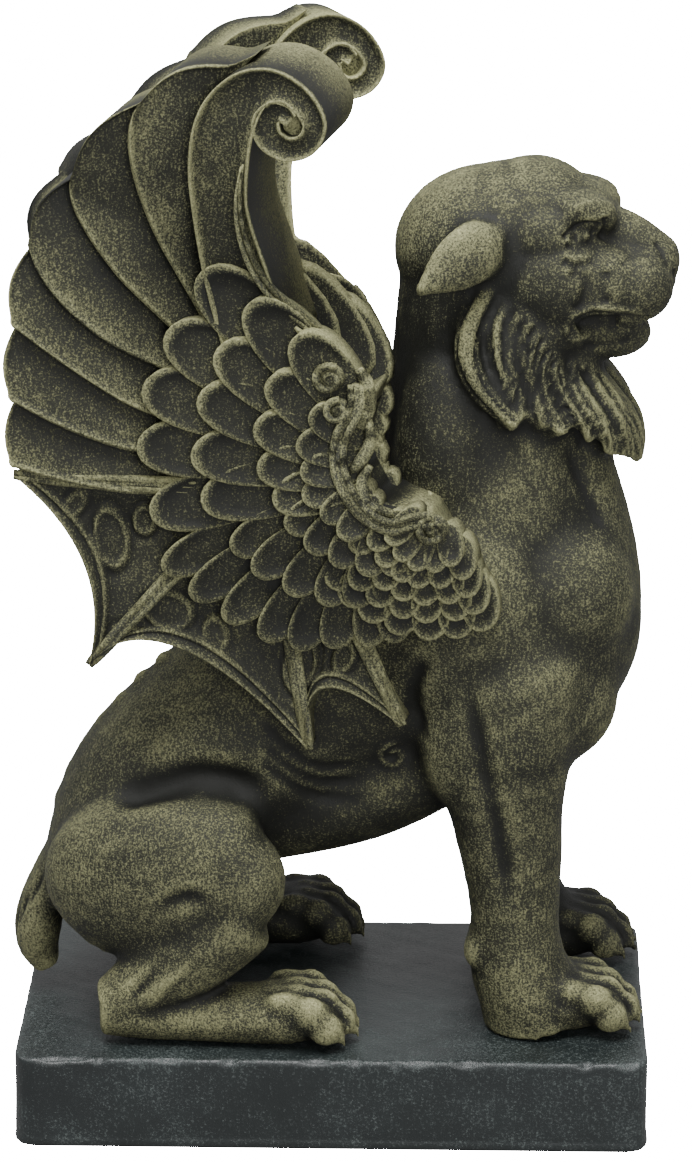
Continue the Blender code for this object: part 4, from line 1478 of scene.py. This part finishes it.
def slab():
    size = plinth_high - plinth_low
    bm = bmesh.new()
    place = Matrix.Translation((plinth_low + plinth_high) / 2) @ Matrix.Diagonal((*size, 1.0))
    bmesh.ops.create_cube(bm, size=1.0, matrix=place)
    uprights = [e for e in bm.edges if abs((e.verts[0].co - e.verts[1].co).normalized().z) > 0.9]
    bmesh.ops.bevel(
        bm, geom=uprights, offset=CORNER_RADIUS, segments=6, profile=0.5, affect="EDGES", material=-1
    )
    rims = [e for e in bm.edges if abs(e.verts[0].co.z - e.verts[1].co.z) < 1e-6]
    bmesh.ops.bevel(bm, geom=rims, offset=EDGE_RADIUS, segments=4, profile=0.5, affect="EDGES", material=-1)
    mesh = bpy.data.meshes.new("plinth_slab")
    bm.to_mesh(mesh)
    bm.free()
    return skinned(mesh, SLAB_GRAIN, 0)


slab_surface = Surface(slab())
spots = slab_surface.points.copy()
inward = (
    -0.0004 * (0.5 + 0.3 * ripple(spots, 0.045, 3))
    - 0.00025 * (0.5 + 0.3 * ripple(spots, 0.009, 5))
    - 0.00005
)
slab_surface.points += slab_surface.normals * inward[:, None] * (spots[:, 2] > plinth_low.z + 0.002)[:, None]
random = np.random.default_rng(11)
for i in range(CHIPS):
    along = plinth_low.x + (plinth_high.x - plinth_low.x) * random.random() ** 1.4
    front = random.random() < FRONT_CHIPS_SHARE
    centre = np.array((along, plinth_low.y if front else plinth_high.y, plinth_high.z - 0.0002))
    reach = np.array(
        (random.uniform(0.002, 0.007), random.uniform(0.001, 0.0028), random.uniform(0.001, 0.002))
    )
    near = np.linalg.norm((slab_surface.points - centre) / reach, axis=1)
    slab_surface.points -= slab_surface.normals * (CHIP_DEPTH * smoothstep(1 - near, 0, 0.8))[:, None]
slab_surface.refresh()
fine = stand_out(slab_surface, 4)
broad = stand_out(slab_surface, 30)
# The slab was not brushed like the figure, so its edges take less paint than its faces; they come out darker,
# a painted shade that keeps the bevels from looking lit
keep(slab_surface.mesh, "fine", -0.8 * np.clip(fine / SLAB_RIM, 0, 1))
keep(slab_surface.mesh, "broad", np.clip(broad / SLAB_FORM, -1, 1))
slab_surface.mesh.shade_smooth()
slab_piece = bpy.data.objects.new("plinth_slab", slab_surface.mesh)
bpy.context.scene.collection.objects.link(slab_piece)
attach(slab_piece, "root")
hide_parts("plinth")
print("slab", len(slab_surface.points), "points,", CHIPS, "chips")

# %% [markdown]
# ## Paint
#
# Two effects are shared by the figure and the slab, so each is a node group. Grain is the cast's fine pitted
# surface. Dry brush decides where pale paint sits: on rims, on full forms, on what faces up, and always
# broken up by the grain, because a dry brush skips. The extra paint on what faces up is also painted light
# from above, and where little paint sits the darkest colour shows as painted shade in hollows and on what
# faces down. Patterns are in object space, which here is the space of the model.


# %% Small helpers for node trees
def new_group(name, inputs, outputs):
    tree = bpy.data.node_groups.new(name, "ShaderNodeTree")
    for socket_name, kind, value in inputs:
        socket = tree.interface.new_socket(socket_name, in_out="INPUT", socket_type=kind)
        socket.default_value = value
    for socket_name, kind in outputs:
        tree.interface.new_socket(socket_name, in_out="OUTPUT", socket_type=kind)
    return tree, tree.nodes.new("NodeGroupInput"), tree.nodes.new("NodeGroupOutput")


def node(tree, kind, settings=None, **inputs):
    """A node with its settings and inputs given: an input is a value or another node's socket."""
    made = tree.nodes.new(kind)
    for key, value in (settings or {}).items():
        setattr(made, key, value)
    for key, value in inputs.items():
        key = key.replace("_", " ")
        socket = made.inputs[int(key[2:])] if key.startswith("in") and key[2:].isdigit() else made.inputs[key]
        if isinstance(value, bpy.types.NodeSocket):
            tree.links.new(value, socket)
        else:
            socket.default_value = value
    return made


def maths(tree, operation, a, b=0.0, clamp=False):
    return node(tree, "ShaderNodeMath", {"operation": operation, "use_clamp": clamp}, in0=a, in1=b).outputs[0]


def ramp(tree, value, low, high):
    """0 below low, 1 above high, smooth between."""
    made = node(
        tree,
        "ShaderNodeMapRange",
        {"interpolation_type": "SMOOTHSTEP"},
        Value=value,
        From_Min=low,
        From_Max=high,
    )
    return made.outputs["Result"]


def noise(tree, coordinates, scale, detail=3.0, roughness=0.55, distortion=0.0):
    made = node(
        tree,
        "ShaderNodeTexNoise",
        None,
        Vector=coordinates,
        Scale=scale,
        Detail=detail,
        Roughness=roughness,
        Distortion=distortion,
    )
    return made.outputs["Fac"]


def blend(tree, factor, first, second):
    made = node(tree, "ShaderNodeMix", {"data_type": "RGBA"}, Factor=factor)
    for socket, value in ((made.inputs[6], first), (made.inputs[7], second)):
        if isinstance(value, bpy.types.NodeSocket):
            tree.links.new(value, socket)
        else:
            socket.default_value = value
    return made.outputs[2]


print("node helpers ready")


# %% Grain: the pitted, brushed surface of the cast
def grain_group():
    tree, inside, outside = new_group(
        "cast_grain",
        [("Vector", "NodeSocketVector", (0, 0, 0)), ("Fineness", "NodeSocketFloat", 1.0)],
        [("Pits", "NodeSocketFloat"), ("Strokes", "NodeSocketFloat"), ("Height", "NodeSocketFloat")],
    )
    at = node(
        tree,
        "ShaderNodeVectorMath",
        {"operation": "SCALE"},
        Vector=inside.outputs["Vector"],
        Scale=inside.outputs["Fineness"],
    )
    pits = noise(tree, at.outputs[0], 2100.0, 3.0, 0.75)
    lean = node(
        tree,
        "ShaderNodeMapping",
        None,
        Vector=at.outputs[0],
        Rotation=(0.35, 0.5, 0.2),
        Scale=(1.0, 1.0, 0.16),
    )
    strokes = noise(tree, lean.outputs[0], 1700.0, 2.0, 0.6, 0.4)
    coarse = noise(tree, at.outputs[0], 420.0, 2.0, 0.5)
    height = maths(tree, "ADD", maths(tree, "MULTIPLY", pits, 0.5), maths(tree, "MULTIPLY", strokes, 0.35))
    height = maths(tree, "ADD", height, maths(tree, "MULTIPLY", coarse, 0.35))
    tree.links.new(pits, outside.inputs["Pits"])
    tree.links.new(strokes, outside.inputs["Strokes"])
    tree.links.new(height, outside.inputs["Height"])
    return tree


# %% Dry brush: where the pale paint sits
def dry_brush_group():
    tree, inside, outside = new_group(
        "dry_brush",
        [
            ("Vector", "NodeSocketVector", (0, 0, 0)),
            ("Fine", "NodeSocketFloat", 0.0),
            ("Broad", "NodeSocketFloat", 0.0),
            ("Mark", "NodeSocketFloat", 0.0),
            ("Pits", "NodeSocketFloat", 0.5),
            ("Strokes", "NodeSocketFloat", 0.5),
            ("Amount", "NodeSocketFloat", 0.3),
        ],
        [("Wash", "NodeSocketFloat"), ("Paint", "NodeSocketFloat"), ("Bright", "NodeSocketFloat")],
    )
    get = inside.outputs
    patches = noise(tree, get["Vector"], 38.0, 3.0, 0.6, 0.4)
    blotches = noise(tree, get["Vector"], 130.0, 3.0, 0.6)
    # What faces up takes a little more pale paint, and so is lighter as if lit from above: painted light.
    facing_up_paint_and_light = node(
        tree,
        "ShaderNodeSeparateXYZ",
        None,
        Vector=tree.nodes.new("ShaderNodeNewGeometry").outputs["Normal"],
    ).outputs["Z"]
    paint_light_and_shade = maths(tree, "ADD", get["Amount"], maths(tree, "MULTIPLY", get["Fine"], 0.3))
    paint_light_and_shade = maths(tree, "ADD", paint_light_and_shade, maths(tree, "MULTIPLY", get["Broad"], 0.5))
    paint_light_and_shade = maths(tree, "ADD", paint_light_and_shade, maths(tree, "MULTIPLY", get["Mark"], 0.8))
    paint_light_and_shade = maths(tree, "ADD", paint_light_and_shade, maths(tree, "MULTIPLY", maths(tree, "SUBTRACT", patches, 0.5), 0.9))
    paint_light_and_shade = maths(tree, "ADD", paint_light_and_shade, maths(tree, "MULTIPLY", maths(tree, "SUBTRACT", blotches, 0.5), 0.4))
    paint_light_and_shade = maths(tree, "ADD", paint_light_and_shade, maths(tree, "MULTIPLY", facing_up_paint_and_light, 0.12))
    broken = maths(
        tree, "ADD", maths(tree, "MULTIPLY", get["Pits"], 0.78), maths(tree, "MULTIPLY", get["Strokes"], 0.22)
    )
    caught = maths(tree, "ADD", paint_light_and_shade, maths(tree, "MULTIPLY", maths(tree, "SUBTRACT", broken, 0.5), 4.4))
    # Little paint lets the darkest colour through: painted shade in hollows, on what faces down and where the
    # mark is low, mottled at random.
    tree.links.new(ramp(tree, paint_light_and_shade, -0.25, 0.75), outside.inputs["Wash"])
    tree.links.new(ramp(tree, caught, 0.15, 1.05), outside.inputs["Paint"])
    tree.links.new(ramp(tree, caught, 0.95, 2.0), outside.inputs["Bright"])
    return tree


GRAIN = grain_group()
DRY_BRUSH = dry_brush_group()
print("groups:", GRAIN.name, "and", DRY_BRUSH.name)

# %% [markdown]
# ## The two finishes
#
# The figure is a dark green-black cast with olive in its hollows' edges and yellow-beige brushed over. The
# slab has the same cast colour but turned to slate, with thin pale scuffs. Roughness and bump follow the
# paint: bare cast has a slight sheen, brushed places are dull and a little raised.


# %% Build a finish from its colours
def finish_of(name, colours, amount, bump, fineness, roughness, shine):
    painted_shade_colour, cast, paint, bright = ((*c, 1.0) for c in colours)
    material = bpy.data.materials.new(name)
    material.use_nodes = True
    tree = material.node_tree
    shader = tree.nodes["Principled BSDF"]
    shader.inputs["Metallic"].default_value = 0.0
    shader.inputs["Specular IOR Level"].default_value = shine
    at = tree.nodes.new("ShaderNodeTexCoord").outputs["Object"]
    grain = node(tree, "ShaderNodeGroup", {"node_tree": GRAIN}, Vector=at, Fineness=fineness)
    brush = node(
        tree,
        "ShaderNodeGroup",
        {"node_tree": DRY_BRUSH},
        Vector=at,
        Fine=node(tree, "ShaderNodeAttribute", {"attribute_name": "fine"}).outputs["Fac"],
        Broad=node(tree, "ShaderNodeAttribute", {"attribute_name": "broad"}).outputs["Fac"],
        Mark=node(tree, "ShaderNodeAttribute", {"attribute_name": "mark"}).outputs["Fac"],
        Pits=grain.outputs["Pits"],
        Strokes=grain.outputs["Strokes"],
        Amount=amount,
    )
    # The darkest colour is painted shade.
    colour = blend(tree, brush.outputs["Wash"], painted_shade_colour, cast)
    colour = blend(tree, brush.outputs["Paint"], colour, paint)
    colour = blend(tree, brush.outputs["Bright"], colour, bright)
    tree.links.new(colour, shader.inputs["Base Color"])
    dull = node(
        tree,
        "ShaderNodeMapRange",
        None,
        Value=brush.outputs["Paint"],
        To_Min=roughness[0],
        To_Max=roughness[1],
    )
    tree.links.new(dull.outputs["Result"], shader.inputs["Roughness"])
    raised = maths(
        tree, "ADD", grain.outputs["Height"], maths(tree, "MULTIPLY", brush.outputs["Paint"], 0.25)
    )
    relief = node(tree, "ShaderNodeBump", None, Height=raised, Strength=bump, Distance=0.0004)
    tree.links.new(relief.outputs["Normal"], shader.inputs["Normal"])
    return material


# Colours of each finish: painted shade, cast, paint and brightest paint.
aged_cast = finish_of(
    "aged_cast",
    ((0.006, 0.0064, 0.0048), (0.025, 0.026, 0.0165), (0.21, 0.21, 0.108), (0.42, 0.41, 0.215)),
    amount=0.12,
    bump=0.8,
    fineness=1.0,
    roughness=(0.6, 0.85),
    shine=0.25,
)
slate_cast = finish_of(
    "slate_cast",
    ((0.006, 0.0085, 0.0085), (0.018, 0.0245, 0.0245), (0.072, 0.088, 0.084), (0.24, 0.27, 0.25)),
    amount=0.05,
    bump=0.5,
    fineness=0.8,
    roughness=(0.38, 0.6),
    shine=0.45,
)
for piece in (body_piece, *wing_pieces):
    piece.data.materials.clear()
    piece.data.materials.append(aged_cast)
slab_piece.data.materials.clear()
slab_piece.data.materials.append(slate_cast)
print("painted", 2 + len(wing_pieces), "pieces")

# %% [markdown]
# ## Floor, light and camera
#
# The statue is shown against white paper, lit from a wide soft box overhead and a weak lamp in front, so what
# faces up is about twice as bright as what faces the viewer. The paper glows in full for the camera only, and
# faintly in the statue's sheen. If it lit the statue from below as well, the dark undersides that the
# photograph shows would be lost.

# %% Floor and surround
PAPER_GLOW = 40.0
PAPER_IN_SHEEN = 0.55
AMBIENT = 0.22
floor_mesh = bpy.data.meshes.new("floor")
bm = bmesh.new()
bmesh.ops.create_grid(bm, x_segments=1, y_segments=1, size=3.0)
bm.to_mesh(floor_mesh)
bm.free()
floor = bpy.data.objects.new("floor", floor_mesh)
bpy.context.scene.collection.objects.link(floor)
pale = bpy.data.materials.new("pale_floor")
pale.use_nodes = True
paper = pale.node_tree.nodes["Principled BSDF"]
paper.inputs["Base Color"].default_value = (0.3, 0.3, 0.3, 1)
paper.inputs["Roughness"].default_value = 0.9
paper.inputs["Emission Color"].default_value = (1, 1, 1, 1)
seen = pale.node_tree.nodes.new("ShaderNodeLightPath").outputs["Is Camera Ray"]
pale.node_tree.links.new(
    maths(pale.node_tree, "MULTIPLY", seen, PAPER_GLOW), paper.inputs["Emission Strength"]
)
floor_mesh.materials.append(pale)
world = bpy.data.worlds.new("surround")
world.use_nodes = True
sky = world.node_tree.nodes["Background"]
sky.inputs["Color"].default_value = (1, 1, 1, 1)
rays = world.node_tree.nodes.new("ShaderNodeLightPath").outputs
glow = maths(world.node_tree, "MULTIPLY", rays["Is Camera Ray"], PAPER_GLOW)
sheen = maths(world.node_tree, "MULTIPLY", rays["Is Glossy Ray"], PAPER_IN_SHEEN)
glow = maths(world.node_tree, "ADD", glow, sheen)
world.node_tree.links.new(maths(world.node_tree, "ADD", glow, AMBIENT), sky.inputs["Strength"])
bpy.context.scene.world = world


# %% Lamps and camera
def soft_lamp(name, place, aim, size, watts):
    lamp = bpy.data.lights.new(name, "AREA")
    lamp.size = size
    lamp.energy = watts
    obj = bpy.data.objects.new(name, lamp)
    obj.location = place
    obj.rotation_euler = (Vector(aim) - Vector(place)).to_track_quat("-Z", "Y").to_euler()
    bpy.context.scene.collection.objects.link(obj)


middle = Vector((0.0, 0.0, 0.13))
soft_lamp("overhead", (-0.1, -0.32, 1.25), middle, 0.75, 31)
soft_lamp("front", (0.35, -1.1, 0.5), middle, 0.5, 8)

CAMERA_ELEVATION = math.radians(19.0)
CAMERA_YAW = math.radians(1.5)
CAMERA_DISTANCE = 1.1
CAMERA_AIM = Vector((0.00277, 0.0, 0.13282))
PHOTO_HEIGHT = 1162
FOCAL_PIXELS = 4485.5
SENSOR = 36.0
look = Vector(
    (
        -math.sin(CAMERA_YAW) * math.cos(CAMERA_ELEVATION),
        math.cos(CAMERA_YAW) * math.cos(CAMERA_ELEVATION),
        -math.sin(CAMERA_ELEVATION),
    )
)
lens = bpy.data.cameras.new("camera")
lens.sensor_width = SENSOR
lens.lens = FOCAL_PIXELS / PHOTO_HEIGHT * SENSOR
camera = bpy.data.objects.new("camera", lens)
camera.location = CAMERA_AIM - look * CAMERA_DISTANCE
camera.rotation_euler = look.to_track_quat("-Z", "Y").to_euler()
bpy.context.scene.collection.objects.link(camera)
bpy.context.scene.camera = camera
print("lens", round(lens.lens, 1), "mm")
